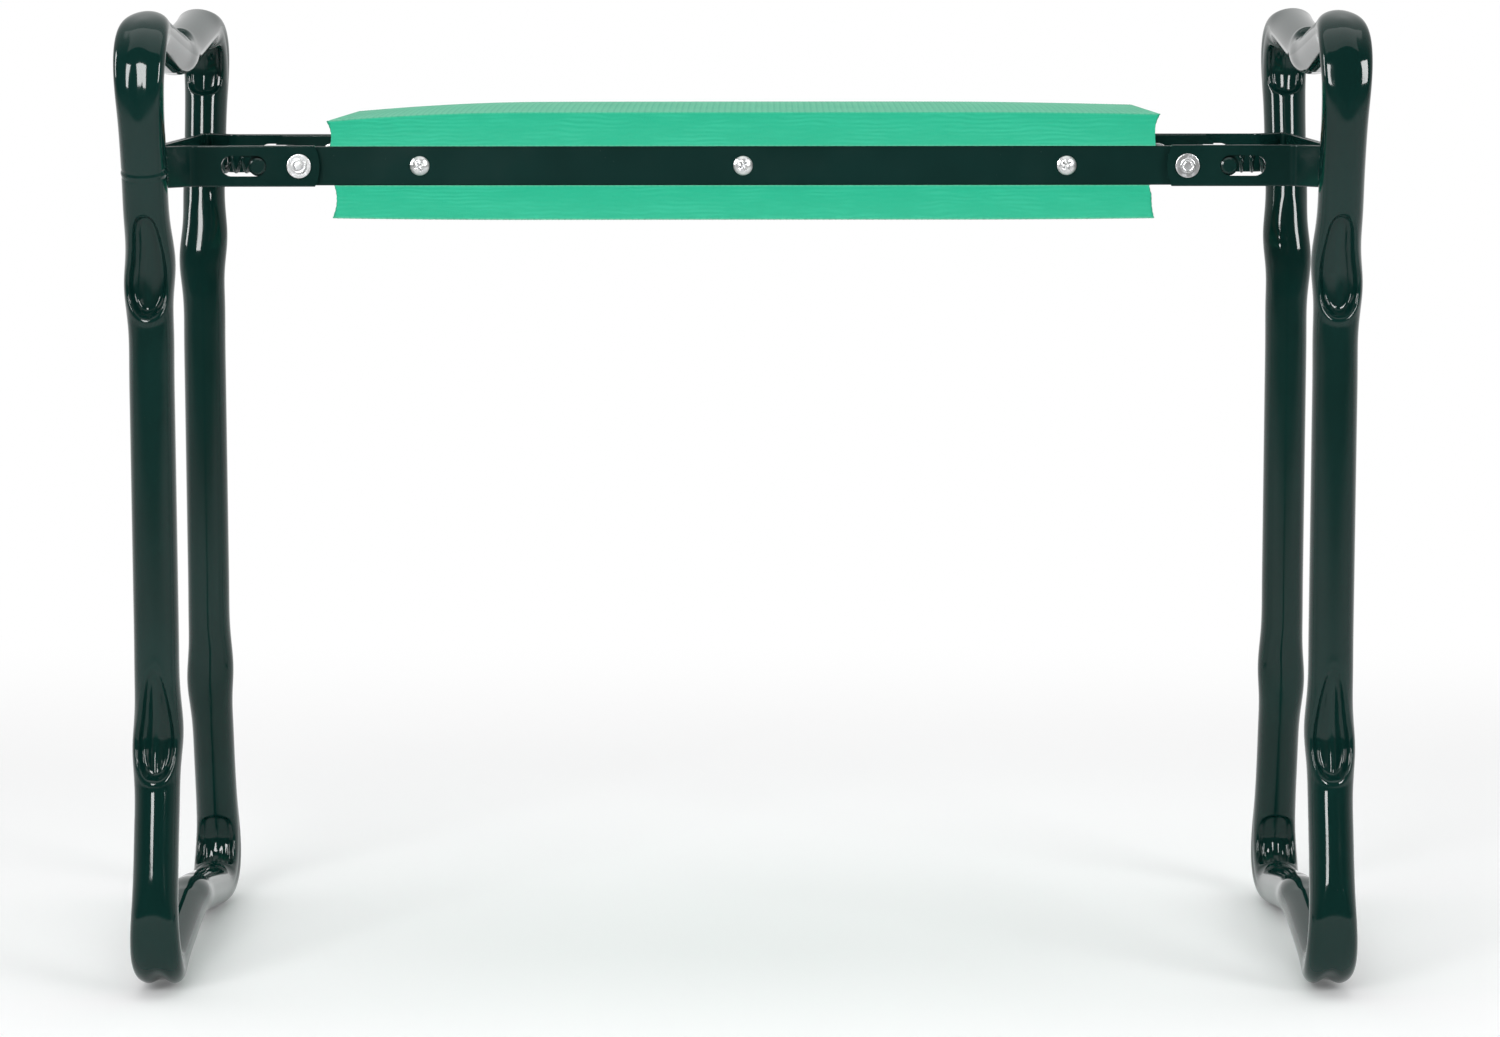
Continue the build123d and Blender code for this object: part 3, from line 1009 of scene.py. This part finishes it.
@dataclass
class LockSpring:
    """The compression spring behind a lock rod, with closed ends."""

    end: End
    steel: bpy.types.Material
    turns: float = 9.0
    wire: float = 1.6 * MM
    closing: float = 0.42       # pitch of the closed turns as a share of the open ones
    closed: tuple = (0.6, 1.3)  # turns from each end over which the spring opens out
    points_per_turn: int = 40
    columns: int = 12

    def grid(self, low: Vector, high: Vector) -> np.ndarray:
        """The wire as a grid: a helix about X whose pitch is smaller over the first and last turn.

        The centre is (x(t), r cos 2 pi t, z + r sin 2 pi t). The wire's section spans the radial direction
        and the direction square to it and to the helix.

        Args:
            low: The spring's lowest corner.
            high: Its highest corner.

        Returns:
            The wire's points.
        """
        turn = np.linspace(0.0, self.turns, int(self.turns * self.points_per_turn) + 1)
        opened = smooth(np.minimum(turn, self.turns - turn), *self.closed)
        pitch = self.closing + (1.0 - self.closing) * opened
        climb = np.concatenate([[0.0], np.cumsum((pitch[1:] + pitch[:-1]) / 2)])
        x = low.x + self.wire / 2 + climb / climb[-1] * (high.x - low.x - self.wire)
        mean_radius = (high.y - low.y - self.wire) / 2
        angle = 2.0 * math.pi * turn
        radial = np.stack([np.zeros_like(angle), np.cos(angle), np.sin(angle)], -1)
        centre = mean_radius * radial + np.array([0.0, 0.0, (low.z + high.z) / 2])
        centre[:, 0] = x
        tangent = np.gradient(centre, axis=0)
        tangent /= np.linalg.norm(tangent, axis=1)[:, None]
        binormal = np.cross(tangent, radial)
        spoke = np.linspace(0.0, 2.0 * math.pi, self.columns, endpoint=False)[None, :, None]
        ring = np.cos(spoke) * radial[:, None] + np.sin(spoke) * binormal[:, None]
        return centre[:, None] + self.wire / 2 * ring

    def build(self) -> bpy.types.Object:
        """Makes the spring and puts it in the frame.

        Returns:
            The spring.
        """
        label = self.end.label
        low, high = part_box("left_lock_spring")
        skin = Skin.from_grid(self.grid(low, high)).at(self.end)
        piece = fit(skin.piece(f"{label}_coil_spring", self.steel), f"{label}_leg", "spring_steel",
                    f"{label}_lock_spring")
        joint = f"{label}_lock_slide"
        length = high.x - low.x
        travel = max(abs(limit) for limit in JOINTS[joint]["range_m"])
        (length - travel) / length
        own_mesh(piece)
        return piece


# --- Seat ------------------------------------------------------------------------------------------

@dataclass
class PivotRivet:
    """One pivot's rivet, peened over a washer: stepped rings outside, a formed tail inside the rail."""

    end: End
    side: Side
    zinc: bpy.types.Material
    boss_radius: float = 2.0 * MM
    boss_height: float = 0.4 * MM
    head_radius: float = 3.7 * MM
    head_height: float = 1.0 * MM
    shank_radius: float = 3.0 * MM
    tail_radius: float = 5.25 * MM
    tail_height: float = 1.6 * MM
    round_over: float = 0.45 * MM
    crown_fall: float = 0.08 * MM
    boss_edge: float = 0.05 * MM
    groove: float = 0.22 * MM
    groove_span: tuple = (0.1 * MM, 0.35 * MM)  # from the boss's wall to the groove's bottom and its far lip
    axis_gap: float = 0.02 * MM                 # radius of the small disc that closes an end on the axis
    dish: float = 0.06 * MM                     # how far the washer's outer face lies below its rim
    mid_dish: float = 0.10 * MM
    face_step: float = 0.5 * MM

    def rivet_profile(self, length: float) -> list:
        """The rivet's profile from the boss's crown to the tail's middle.

        Args:
            length: The rivet's whole length.

        Returns:
            (radius, height) pairs, heights falling from 0.
        """
        soft, full = self.round_over / 2, self.round_over
        boss_radius, head_radius, tail_radius = self.boss_radius, self.head_radius, self.tail_radius
        head_top, head_foot = -self.boss_height, -self.boss_height - self.head_height
        tail_top = self.tail_height - length
        crown = [(share * boss_radius, -self.crown_fall * share ** 2) for share in (0.02, 0.3, 0.6)]
        boss = arc((boss_radius - soft, -soft - self.boss_edge), soft, 80, 0)
        bottom, lip = self.groove_span
        ring = [(boss_radius + bottom, head_top - self.groove), (boss_radius + lip, head_top)]
        shoulder = arc((head_radius - full, head_top - full), full, 90, 0)
        shank = [(head_radius, head_foot), (self.shank_radius, head_foot),
                 (self.shank_radius, tail_top), (tail_radius - soft, tail_top)]
        upper = arc((tail_radius - soft, tail_top - soft), soft, 90, 0)
        lower = arc((tail_radius - full, full - length), full, 0, -90)
        return crown + boss + ring + shoulder + shank + upper + lower + [(self.axis_gap, -length)]

    def ring_profile(self, hole: float, radius: float, thickness: float) -> list:
        """A washer's closed section, with rounded outer edges and a slight dish on its outer face.

        Args:
            hole: The hole's radius.
            radius: The washer's radius.
            thickness: Its thickness.

        Returns:
            (radius, height) pairs.
        """
        soft = 0.4 * thickness
        face_top = thickness - self.dish
        face = [(hole, 0.0), (hole, face_top), (hole + self.face_step, face_top),
                (0.5 * (hole + radius), thickness - self.mid_dish)]
        rim = arc((radius - soft, thickness - soft), soft, 90, 0) + arc((radius - soft, soft), soft, 0, -90)
        return face + rim

    def build(self) -> None:
        """Makes the rivet and its washer and puts them in the frame."""
        stem = f"{self.side.label}_{self.end.label}"
        outward = float(self.side.value)
        low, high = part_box(f"{stem}_pivot_rivet")
        axis = np.array([(low.x + high.x) / 2, 0.0, (low.z + high.z) / 2])
        outer, inner = sorted((low.y, high.y), key=abs, reverse=True)
        rivet_grid = lathe(self.rivet_profile(abs(outer - inner)), axis + [0.0, outer, 0.0], outward)
        rivet = Skin.from_grid(rivet_grid).piece(f"{stem}_peened_rivet", self.zinc, crease=50.0)
        fit(rivet, "seat", "zinc_plate", f"{stem}_pivot_rivet")
        low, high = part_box(f"{stem}_rivet_washer")
        foot = min(low.y, high.y, key=abs)
        profile = self.ring_profile(self.shank_radius, (high.x - low.x) / 2, high.y - low.y)
        washer_grid = lathe(profile, axis + [0.0, foot, 0.0], outward)
        washer = Skin.from_grid(washer_grid, ring=True).piece(f"{stem}_washer", self.zinc, crease=50.0)
        fit(washer, "seat", "zinc_plate", f"{stem}_rivet_washer")


@dataclass
class RailScrews:
    """The three domed screws of one rail, with cross recesses, driven into the board."""

    side: Side
    zinc: bpy.types.Material
    head_radius: float = 4.7 * MM
    head_height: float = 2.8 * MM
    rim_height: float = 0.7 * MM
    shank_radius: float = 2.0 * MM
    count: int = 3
    slot_width: float = 1.05 * MM
    slot_span: float = 4.9 * MM
    slot_depth: float = 1.5 * MM
    wall_slope: float = 0.15 * MM       # half the width over which a slot's wall drops
    end_slope: tuple = (0.2 * MM, 0.3 * MM)    # beyond and within the slot's end
    end_rise: float = 0.45              # share of the depth lost at a slot's end
    point_length: tuple = (3.0 * MM, 1.0 * MM)
    axis_gap: float = 0.02 * MM
    first_turn: float = 0.5             # how far the screws were driven round, in radians
    turn_step: float = 1.7
    dome_rows: int = 44
    columns: int = 112

    def recess(self, x: np.ndarray, z: np.ndarray, turned: float) -> np.ndarray:
        """The depth of the cross at a point of the head: two crossed slots, deepest where they meet.

        Args:
            x: Distance across the head.
            z: Distance up the head.
            turned: How far the screw was driven round, in radians.

        Returns:
            The depth.
        """
        u = np.abs(x * math.cos(turned) + z * math.sin(turned))
        v = np.abs(z * math.cos(turned) - x * math.sin(turned))
        half, span, wall = self.slot_width / 2, self.slot_span / 2, self.wall_slope
        beyond, within = self.end_slope
        slots = [smooth(a, half + wall, half - wall) * smooth(b, span + beyond, span - within)
                 for a, b in ((u, v), (v, u))]
        return self.slot_depth * np.maximum(*slots) * (1.0 - self.end_rise * np.hypot(u, v) / span)

    def screw(self, x: float, face_y: float, z: float, length: float, turned: float) -> Skin:
        """One screw: a ball-shaped dome less its recess, a short rim, a flat underside and a pointed shank.

        Args:
            x: The screw's place along the rail.
            face_y: The rail's outer face.
            z: Its height.
            length: The shank's length behind that face.
            turned: How far it was driven round, in radians.

        Returns:
            The screw's surface.
        """
        rise = self.head_height - self.rim_height
        ball = (self.head_radius ** 2 + rise ** 2) / (2 * rise)
        radius = np.linspace(self.axis_gap, self.head_radius, self.dome_rows)
        dome = self.head_height - ball + np.sqrt(ball ** 2 - radius ** 2)
        profile = list(zip(radius, dome))
        taper, point = self.point_length
        profile += [(self.head_radius, 0.0), (self.shank_radius, 0.0), (self.shank_radius, taper - length),
                    (0.5 * self.shank_radius, point - length), (self.axis_gap, -length)]
        outward = float(self.side.value)
        grid = lathe(profile, np.array([x, face_y, z]), outward, self.columns)
        cap = grid[:self.dome_rows]
        cap[..., 1] -= outward * self.recess(cap[..., 0] - x, cap[..., 2] - z, turned)
        return Skin.from_grid(grid)

    def build(self) -> bpy.types.Object:
        """Makes the screws and puts them in the frame.

        Returns:
            The screws as one group.
        """
        label = self.side.label
        low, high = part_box(f"{label}_rail_screws")
        face_y = max(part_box(f"{label}_rail"), key=lambda corner: abs(corner.y)).y
        tip_y = min(low.y, high.y, key=abs)
        places = np.linspace(low.x + self.head_radius, high.x - self.head_radius, self.count)
        turns = self.first_turn + self.turn_step * np.arange(self.count)
        screws = [self.screw(x, face_y, (low.z + high.z) / 2, abs(face_y - tip_y), turned)
                  for x, turned in zip(places, turns)]
        piece = Skin.joined(screws).piece(f"{label}_cross_screws", self.zinc, crease=40.0)
        return fit(piece, "seat", "zinc_plate", f"{label}_rail_screws")


@dataclass
class FoamPad:
    """A slab of cut foam: studded faces, waisted cut sides, flared edges and softly sagging ends."""

    node: str
    foam: bpy.types.Material
    crown_up: bool              # True where the open face is the upper one
    crown: float = 2.0 * MM                    # how far the open face rises in the middle
    sag: tuple = (4.4 * MM, 1.2 * MM)          # how far the open face drops at the left and right ends
    sag_reach: float = 100.0 * MM
    end_waist: tuple = (1.8 * MM, 2.2 * MM)    # how far the left and right end faces draw in
    seat_draw: float = 0.7                     # share of that left at the seat face
    side_waist: float = 0.5 * MM
    open_flare: tuple = (0.4 * MM, 0.6 * MM)
    corner_radius: float = 2.0 * MM
    clipped_corner: float = 0.0                # size of a corner worn off the seat side of the right end
    lip: float = 0.9 * MM                      # how far the long edges hang over the rails
    stud_pitch: float = 3.0 * MM
    stud_height: float = 0.42 * MM
    steps_per_stud: int = 4
    levels: int = 21
    edge_round: float = 0.5 * MM
    edge_reach: float = 0.6 * MM
    stud_margin: tuple = (0.2 * MM, 1.4 * MM)  # from the edge to where the studs start and are whole
    wall_blend: float = 3.0 * MM               # distance over which an end wall turns into a side wall
    clip_height: float = 0.35                  # share of the wall that the worn corner takes up
    cut_grain: float = 0.10 * MM
    cut_pitch: float = 2.6 * MM
    cut_waves: tuple = ((1.6, 1, 31 * MM), (0.9, -2, 11 * MM))     # strength, share of y, wave length

    def plan(self, half_x: float, half_y: float) -> tuple[np.ndarray, np.ndarray]:
        """A grid over the slab with its four corners rounded.

        In each corner's square the point (u, v) moves to (u sqrt(1 - v²/2), v sqrt(1 - u²/2)), which makes
        the square a quarter disc.

        Args:
            half_x: Half the slab's length.
            half_y: Half its width.

        Returns:
            The grid's x and y.
        """
        step = self.stud_pitch / self.steps_per_stud
        x, y = np.meshgrid(np.linspace(-half_x, half_x, int(2 * half_x / step)),
                           np.linspace(-half_y, half_y, int(2 * half_y / step)), indexing="ij")
        radius = self.corner_radius
        u = np.clip((np.abs(x) - half_x + radius) / radius, 0.0, 1.0)
        v = np.clip((np.abs(y) - half_y + radius) / radius, 0.0, 1.0)
        new_u, new_v = u * np.sqrt(1.0 - v * v / 2), v * np.sqrt(1.0 - u * u / 2)
        return x + np.sign(x) * radius * (new_u - u), y + np.sign(y) * radius * (new_v - v)

    def studs(self, x: np.ndarray, y: np.ndarray, edge: np.ndarray) -> np.ndarray:
        """The open face's relief: rows of round studs, the product of two cosines raised above a floor."""
        wave = np.cos(2 * math.pi * x / self.stud_pitch) * np.cos(2 * math.pi * y / self.stud_pitch)
        return self.stud_height * (smooth(wave, -0.6, 0.8) - 1.0) * smooth(edge, *self.stud_margin)

    def fall(self, x: np.ndarray, half_x: float) -> np.ndarray:
        """How far the open face drops towards the ends: the square of the share of the sagging stretch.

        Args:
            x: Distance along the pad from its middle.
            half_x: Half of the pad's length.

        Returns:
            The drop.
        """
        from_left = np.clip(1.0 - (x + half_x) / self.sag_reach, 0.0, 1.0)
        from_right = np.clip(1.0 - (half_x - x) / self.sag_reach, 0.0, 1.0)
        return self.sag[0] * from_left ** 2 + self.sag[1] * from_right ** 2

    def shape(self) -> tuple[Skin, np.ndarray]:
        """The slab's surface: an open face, a seat face, and walls carried round the grid's border.

        A wall point at height share t moves in by waist * (4 t (1 - t) + seat draw * (1 - t)²), which draws
        the wall's middle in, and out by the flare times t squared; thin waves along the wall are the grain of
        the cut. The open face's crown is 1 - y² times 1 - x⁴, each as a share of its half.

        Returns:
            The surface, and for each point how far it belongs to a cut wall.
        """
        low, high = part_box(self.node)
        half_x, half_y = (high.x - low.x) / 2, (high.y - low.y) / 2
        thickness = high.z - low.z
        sign = 1.0 if self.crown_up else -1.0
        seat_z = low.z if self.crown_up else high.z
        x, y = self.plan(half_x, half_y)
        rows, columns = x.shape
        edge = np.minimum(half_x - np.abs(x), half_y - np.abs(y))
        soften = self.edge_round * hump(edge, self.edge_reach)
        crown = self.crown * (1.0 - (y / half_y) ** 2) * (1.0 - (x / half_x) ** 4)
        rise = thickness + crown - self.fall(x, half_x) + self.studs(x, y, edge) - soften
        open_face = np.stack([x, y, seat_z + sign * rise], -1)
        seat_face = np.stack([x, y, np.full_like(x, seat_z)], -1)
        index = np.arange(rows * columns).reshape(rows, columns)
        border = np.concatenate([index[:-1, 0], index[-1, :-1], index[:0:-1, -1], index[0, :0:-1]])
        bx, by, top = x.reshape(-1)[border], y.reshape(-1)[border], rise.reshape(-1)[border]
        t = np.linspace(0.0, 1.0, self.levels)[1:-1, None]
        at_left, at_right = (smooth(sign_x * bx, half_x - self.wall_blend, half_x) for sign_x in (-1, 1))
        on_long = smooth(np.abs(by), half_y - self.wall_blend, half_y)
        arch = 4.0 * t * (1.0 - t)
        wander = sum(strength * np.sin(2 * math.pi * (bx + share * by) / length)
                     for strength, share, length in self.cut_waves)
        grain = self.cut_grain * np.sin(2 * math.pi * t * thickness / self.cut_pitch + wander)
        inwards = at_left - at_right
        pull = (self.end_waist[0] * at_left + self.end_waist[1] * at_right) / (1.0 + self.seat_draw / 4)
        draw = arch + self.seat_draw * (1.0 - t) ** 2
        clip = self.clipped_corner * at_right * smooth(t, self.clip_height, 0.0)
        move_x = inwards * (pull * draw - self.open_flare[0] * t ** 2 + grain) - clip
        move_y = -np.sign(by) * on_long * (self.side_waist * arch - self.lip * (1.0 - arch) + grain)
        wall = np.stack([bx + move_x, by + move_y, seat_z + sign * t * top], -1)
        spread_x = np.sign(bx) * (at_left * self.open_flare[0] + at_right * self.open_flare[1])
        spread_y = np.sign(by) * on_long * self.lip
        flat_open, flat_seat = open_face.reshape(-1, 3), seat_face.reshape(-1, 3)
        flat_open[border, 0] += spread_x
        flat_open[border, 1] += spread_y
        flat_seat[border, 0] += inwards * pull * self.seat_draw - self.clipped_corner * at_right
        flat_seat[border, 1] += spread_y
        return self._stitch(index, border, flat_open, flat_seat, wall)

    def _stitch(self, index: np.ndarray, border: np.ndarray, open_face: np.ndarray, seat_face: np.ndarray,
                wall: np.ndarray) -> tuple[Skin, np.ndarray]:
        """Joins the two faces and the wall along the border.

        Args:
            index: The grid's point numbers.
            border: The numbers round its edge.
            open_face: The open face's points.
            seat_face: The seat face's points.
            wall: The wall's points, levels by border.

        Returns:
            The surface, and for each point how far it belongs to a cut wall.
        """
        count, levels = len(open_face), len(wall)
        face = np.stack([index[:-1, :-1], index[1:, :-1], index[1:, 1:], index[:-1, 1:]], -1).reshape(-1, 4)
        ring = 2 * count + np.arange(levels * len(border)).reshape(levels, -1)
        ladder = np.concatenate([border[None] + count, ring, border[None]])
        lower, upper = ladder[:-1], ladder[1:]
        sides = np.stack([lower, np.roll(lower, -1, 1), np.roll(upper, -1, 1), upper], -1).reshape(-1, 4)
        points = np.concatenate([open_face, seat_face, wall.reshape(-1, 3)])
        cut = np.concatenate([np.zeros(2 * count), np.ones(wall.size // 3)])
        return Skin(points, np.concatenate([face, face[:, ::-1] + count, sides])), cut

    def build(self) -> bpy.types.Object:
        """Makes the pad and puts it in the frame.

        Returns:
            The pad.
        """
        skin, cut = self.shape()
        piece = skin.piece(f"{self.node}_foam", self.foam, crease=60.0)
        piece.data.attributes.new("cut", "FLOAT", "POINT").data.foreach_set("value", cut.astype(np.float32))
        fit(piece, "seat", "foam", self.node)
        return piece


@dataclass
class FrameFinishes:
    """The finishes of the frame's own nodes, which keep their shapes."""

    strap: bpy.types.Material
    rail: bpy.types.Material
    rod: bpy.types.Material
    steel: bpy.types.Material
    board: bpy.types.Material

    def apply(self) -> None:
        """Dresses every node that no new piece stands for."""
        for end in End:
            dress(f"{end.label}_bracket_strap", self.strap)
            dress(f"{end.label}_spring_stud", self.strap)
            dress(f"{end.label}_lock_rod", self.rod)
            dress(f"{end.label}_joint_sleeve", self.steel)
            for side in Side:
                dress(f"{side.label}_{end.label}_pivot_spacer", self.steel)
        for side in Side:
            dress(f"{side.label}_rail", self.rail)
        dress("core_board", self.board)


# --- Studio ----------------------------------------------------------------------------------------

class LightRole(Enum):
    """What a light is there for: to light matt surfaces, to show in gloss, or both."""

    FILL = "fill"
    GLOSS = "gloss"
    BOTH = "both"


@dataclass(frozen=True)
class SoftBox:
    """A soft light on a stand, aimed at the middle of the object."""

    name: str
    azimuth: float              # degrees round from the front, positive to the right
    elevation: float            # degrees above the floor
    distance: float
    width: float
    height: float
    power: float
    role: LightRole

    def build(self, aim: Vector) -> None:
        """Makes the light.

        Args:
            aim: The point that it faces.
        """
        around, up = math.radians(self.azimuth), math.radians(self.elevation)
        away = Vector((math.sin(around) * math.cos(up), -math.cos(around) * math.cos(up), math.sin(up)))
        lamp = bpy.data.lights.new(self.name, "AREA")
        lamp.shape = "RECTANGLE"
        lamp.size, lamp.size_y = self.width, self.height
        lamp.energy = self.power
        made = bpy.data.objects.new(self.name, lamp)
        made.location = aim + away * self.distance
        made.rotation_euler = (-away).to_track_quat("-Z", "Y").to_euler()
        made.visible_camera = False
        made.visible_diffuse = self.role is not LightRole.GLOSS
        made.visible_glossy = self.role is not LightRole.FILL
        bpy.context.scene.collection.objects.link(made)


@dataclass
class Studio:
    """The pale floor, the white surroundings, the lights and the camera."""

    camera_x: float = 10.8 * MM
    camera_y: float = -2193.0 * MM
    camera_z: float = 490.4 * MM
    heading: float = -0.0036    # radians to the right of +Y
    pitch: float = 0.1222       # radians below level
    roll: float = -0.0009
    lens: float = 103.9         # millimetres, for the sensor's width
    sensor_width: float = 36.0
    floor_size: float = 30.0
    near_colour: tuple = (0.93, 0.93, 0.935, 1.0)
    near_glow: tuple = (0.10, 0.10, 0.10, 1.0)
    front_colour: tuple = (0.10, 0.10, 0.10, 1.0)
    front_from: float = -0.45   # Y at which the floor starts to darken towards the front, and is dark
    front_to: float = -2.4
    back_from: float = 0.12     # Y at which it starts to glow white towards the back, and is all white
    back_to: float = 1.05
    fade_reach: tuple = (1.3, 2.6)  # distance at which it starts to fade to white to the eye, and is white
    white: tuple = (1.0, 1.0, 1.0, 1.0)
    black: tuple = (0.0, 0.0, 0.0, 1.0)
    dim_wall: tuple = (0.06, 0.06, 0.06, 1.0)
    bright_wall: tuple = (0.80, 0.80, 0.80, 1.0)
    dim_until: float = -0.55    # the direction's Y up to which the room is dim, and from which it is bright
    bright_from: float = 0.35
    lights: tuple = (
        SoftBox("key_left", -21.0, 24.0, 2.6, 1.3, 1.2, 32.0, LightRole.FILL),
        SoftBox("key_right", 43.0, 24.0, 2.6, 0.9, 1.2, 16.0, LightRole.FILL),
        SoftBox("strip_far_left", -80.0, 26.0, 2.6, 0.50, 1.25, 44.0, LightRole.GLOSS),
        SoftBox("strip_left", -22.0, 26.0, 2.6, 0.62, 1.30, 70.0, LightRole.GLOSS),
        SoftBox("strip_right", 45.0, 26.0, 2.6, 0.50, 1.25, 56.0, LightRole.GLOSS),
        SoftBox("top", 0.0, 84.0, 2.4, 2.4, 2.0, 18.0, LightRole.BOTH),
    )

    def floor(self) -> None:
        """A large pale floor of matt paper that fades to white far off; gloss sees its front dark."""
        half = self.floor_size / 2
        shader = Shader.for_material("studio_paper")
        point = shader.place()
        depth = shader.node("ShaderNodeSeparateXYZ", {}, {0: point}, "Y")
        away = shader.node("ShaderNodeVectorMath", {"operation": "LENGTH"}, {0: point}, "Value")
        seen = shader.node("ShaderNodeLightPath", {}, {}, "Is Camera Ray")
        front = depth.rise(self.front_from, self.front_to) * (1.0 - seen)
        glow = depth.rise(self.back_from, self.back_to).larger(away.rise(*self.fade_reach) * seen)
        shader.set(
            base_color=shader.mix(glow, shader.mix(front, self.near_colour, self.front_colour), self.black),
            emission_color=shader.mix(glow, self.near_glow, self.white),
            emission_strength=1.0,
            roughness=0.9,
            specular_ior_level=0.0,
        )
        mesh = bpy.data.meshes.new("studio_floor")
        mesh.from_pydata([(-half, -half, 0), (half, -half, 0), (half, half, 0), (-half, half, 0)], [],
                         [(0, 1, 2, 3)])
        mesh.materials.append(shader.owner)
        made = bpy.data.objects.new("studio_floor", mesh)
        bpy.context.scene.collection.objects.link(made)

    def surroundings(self) -> None:
        """A white room whose front half is dim, so that gloss shows dark with bright lights in it."""
        shader = Shader.for_world("white_room")
        bpy.context.scene.world = shader.owner
        direction = shader.node("ShaderNodeTexCoord", {}, {}, "Generated")
        depth = shader.node("ShaderNodeSeparateXYZ", {}, {0: direction}, "Y")
        seen = shader.node("ShaderNodeLightPath", {}, {}, "Is Camera Ray")
        room = shader.mix(depth.rise(self.dim_until, self.bright_from), self.dim_wall, self.bright_wall)
        shader.set(color=shader.mix(seen, room, self.white), strength=1.0)

    def camera(self) -> None:
        """The camera; its right, up and forward are worked out from its heading, pitch and roll."""
        flat_right = Vector((math.cos(self.heading), -math.sin(self.heading), 0.0))
        flat_ahead = Vector((math.sin(self.heading), math.cos(self.heading), 0.0))
        forward = flat_ahead * math.cos(self.pitch) - Vector((0.0, 0.0, math.sin(self.pitch)))
        flat_up = flat_right.cross(forward)
        right = flat_right * math.cos(self.roll) + flat_up * math.sin(self.roll)
        up = right.cross(forward)
        data = bpy.data.cameras.new("camera")
        data.lens = self.lens
        data.sensor_width = self.sensor_width
        data.clip_start, data.clip_end = 0.05, 100.0
        made = bpy.data.objects.new("camera", data)
        turn = Matrix((right, up, -forward)).transposed().to_4x4()
        made.matrix_world = Matrix.Translation((self.camera_x, self.camera_y, self.camera_z)) @ turn
        bpy.context.scene.collection.objects.link(made)
        bpy.context.scene.camera = made

    def build(self) -> None:
        """Sets up the floor, the room, the lights and the camera."""
        self.floor()
        self.surroundings()
        aim = (cad_box[0] + cad_box[1]) / 2
        for light in self.lights:
            light.build(aim)
        self.camera()
        bpy.context.scene.view_settings.view_transform = "Standard"
        log.info("studio ready with %d lights", len(self.lights))


def main() -> None:
    """Builds every piece in order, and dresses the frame's nodes."""
    logging.basicConfig(level=logging.INFO, format="%(name)s: %(message)s")
    leg_enamel = Enamel("bottle_green_leg_enamel").material()
    strap_enamel = Enamel("bottle_green_strap_enamel", roughness=0.13, peel_scale=260.0).material()
    rail_enamel = Enamel("bottle_green_rail_enamel", roughness=0.20, peel_scale=320.0, index=1.27,
                         coat=0.05).material()
    rod_enamel = Enamel("bottle_green_rod_enamel", roughness=0.15).material()
    spring_steel = Enamel("painted_spring_steel", roughness=0.14, peel_scale=700.0).material()
    zinc = ZincPlate("bright_zinc").material()
    steel = BareSteel("drawn_steel").material()
    board = BoardFinish("pressed_board").material()
    foam = FoamSkin("mint_foam").material()

    FrameFinishes(strap_enamel, rail_enamel, rod_enamel, steel, board).apply()
    for end in End:
        leg = LegFrame(end, leg_enamel)
        leg.build()
        BracketWelds(end, leg, strap_enamel).build()
        LockSpring(end, spring_steel).build()
        for side in Side:
            PivotRivet(end, side, zinc).build()
    for side in Side:
        RailScrews(side, zinc).build()
    FoamPad("upper_pad", foam, crown_up=True).build()
    FoamPad("lower_pad", foam, crown_up=False, crown=0.8 * MM, sag=(0.8 * MM, 0.6 * MM),
            end_waist=(1.7 * MM, 0.9 * MM), seat_draw=0.35, clipped_corner=1.6 * MM).build()
    Studio().build()


if __name__ == "__main__":
    main()
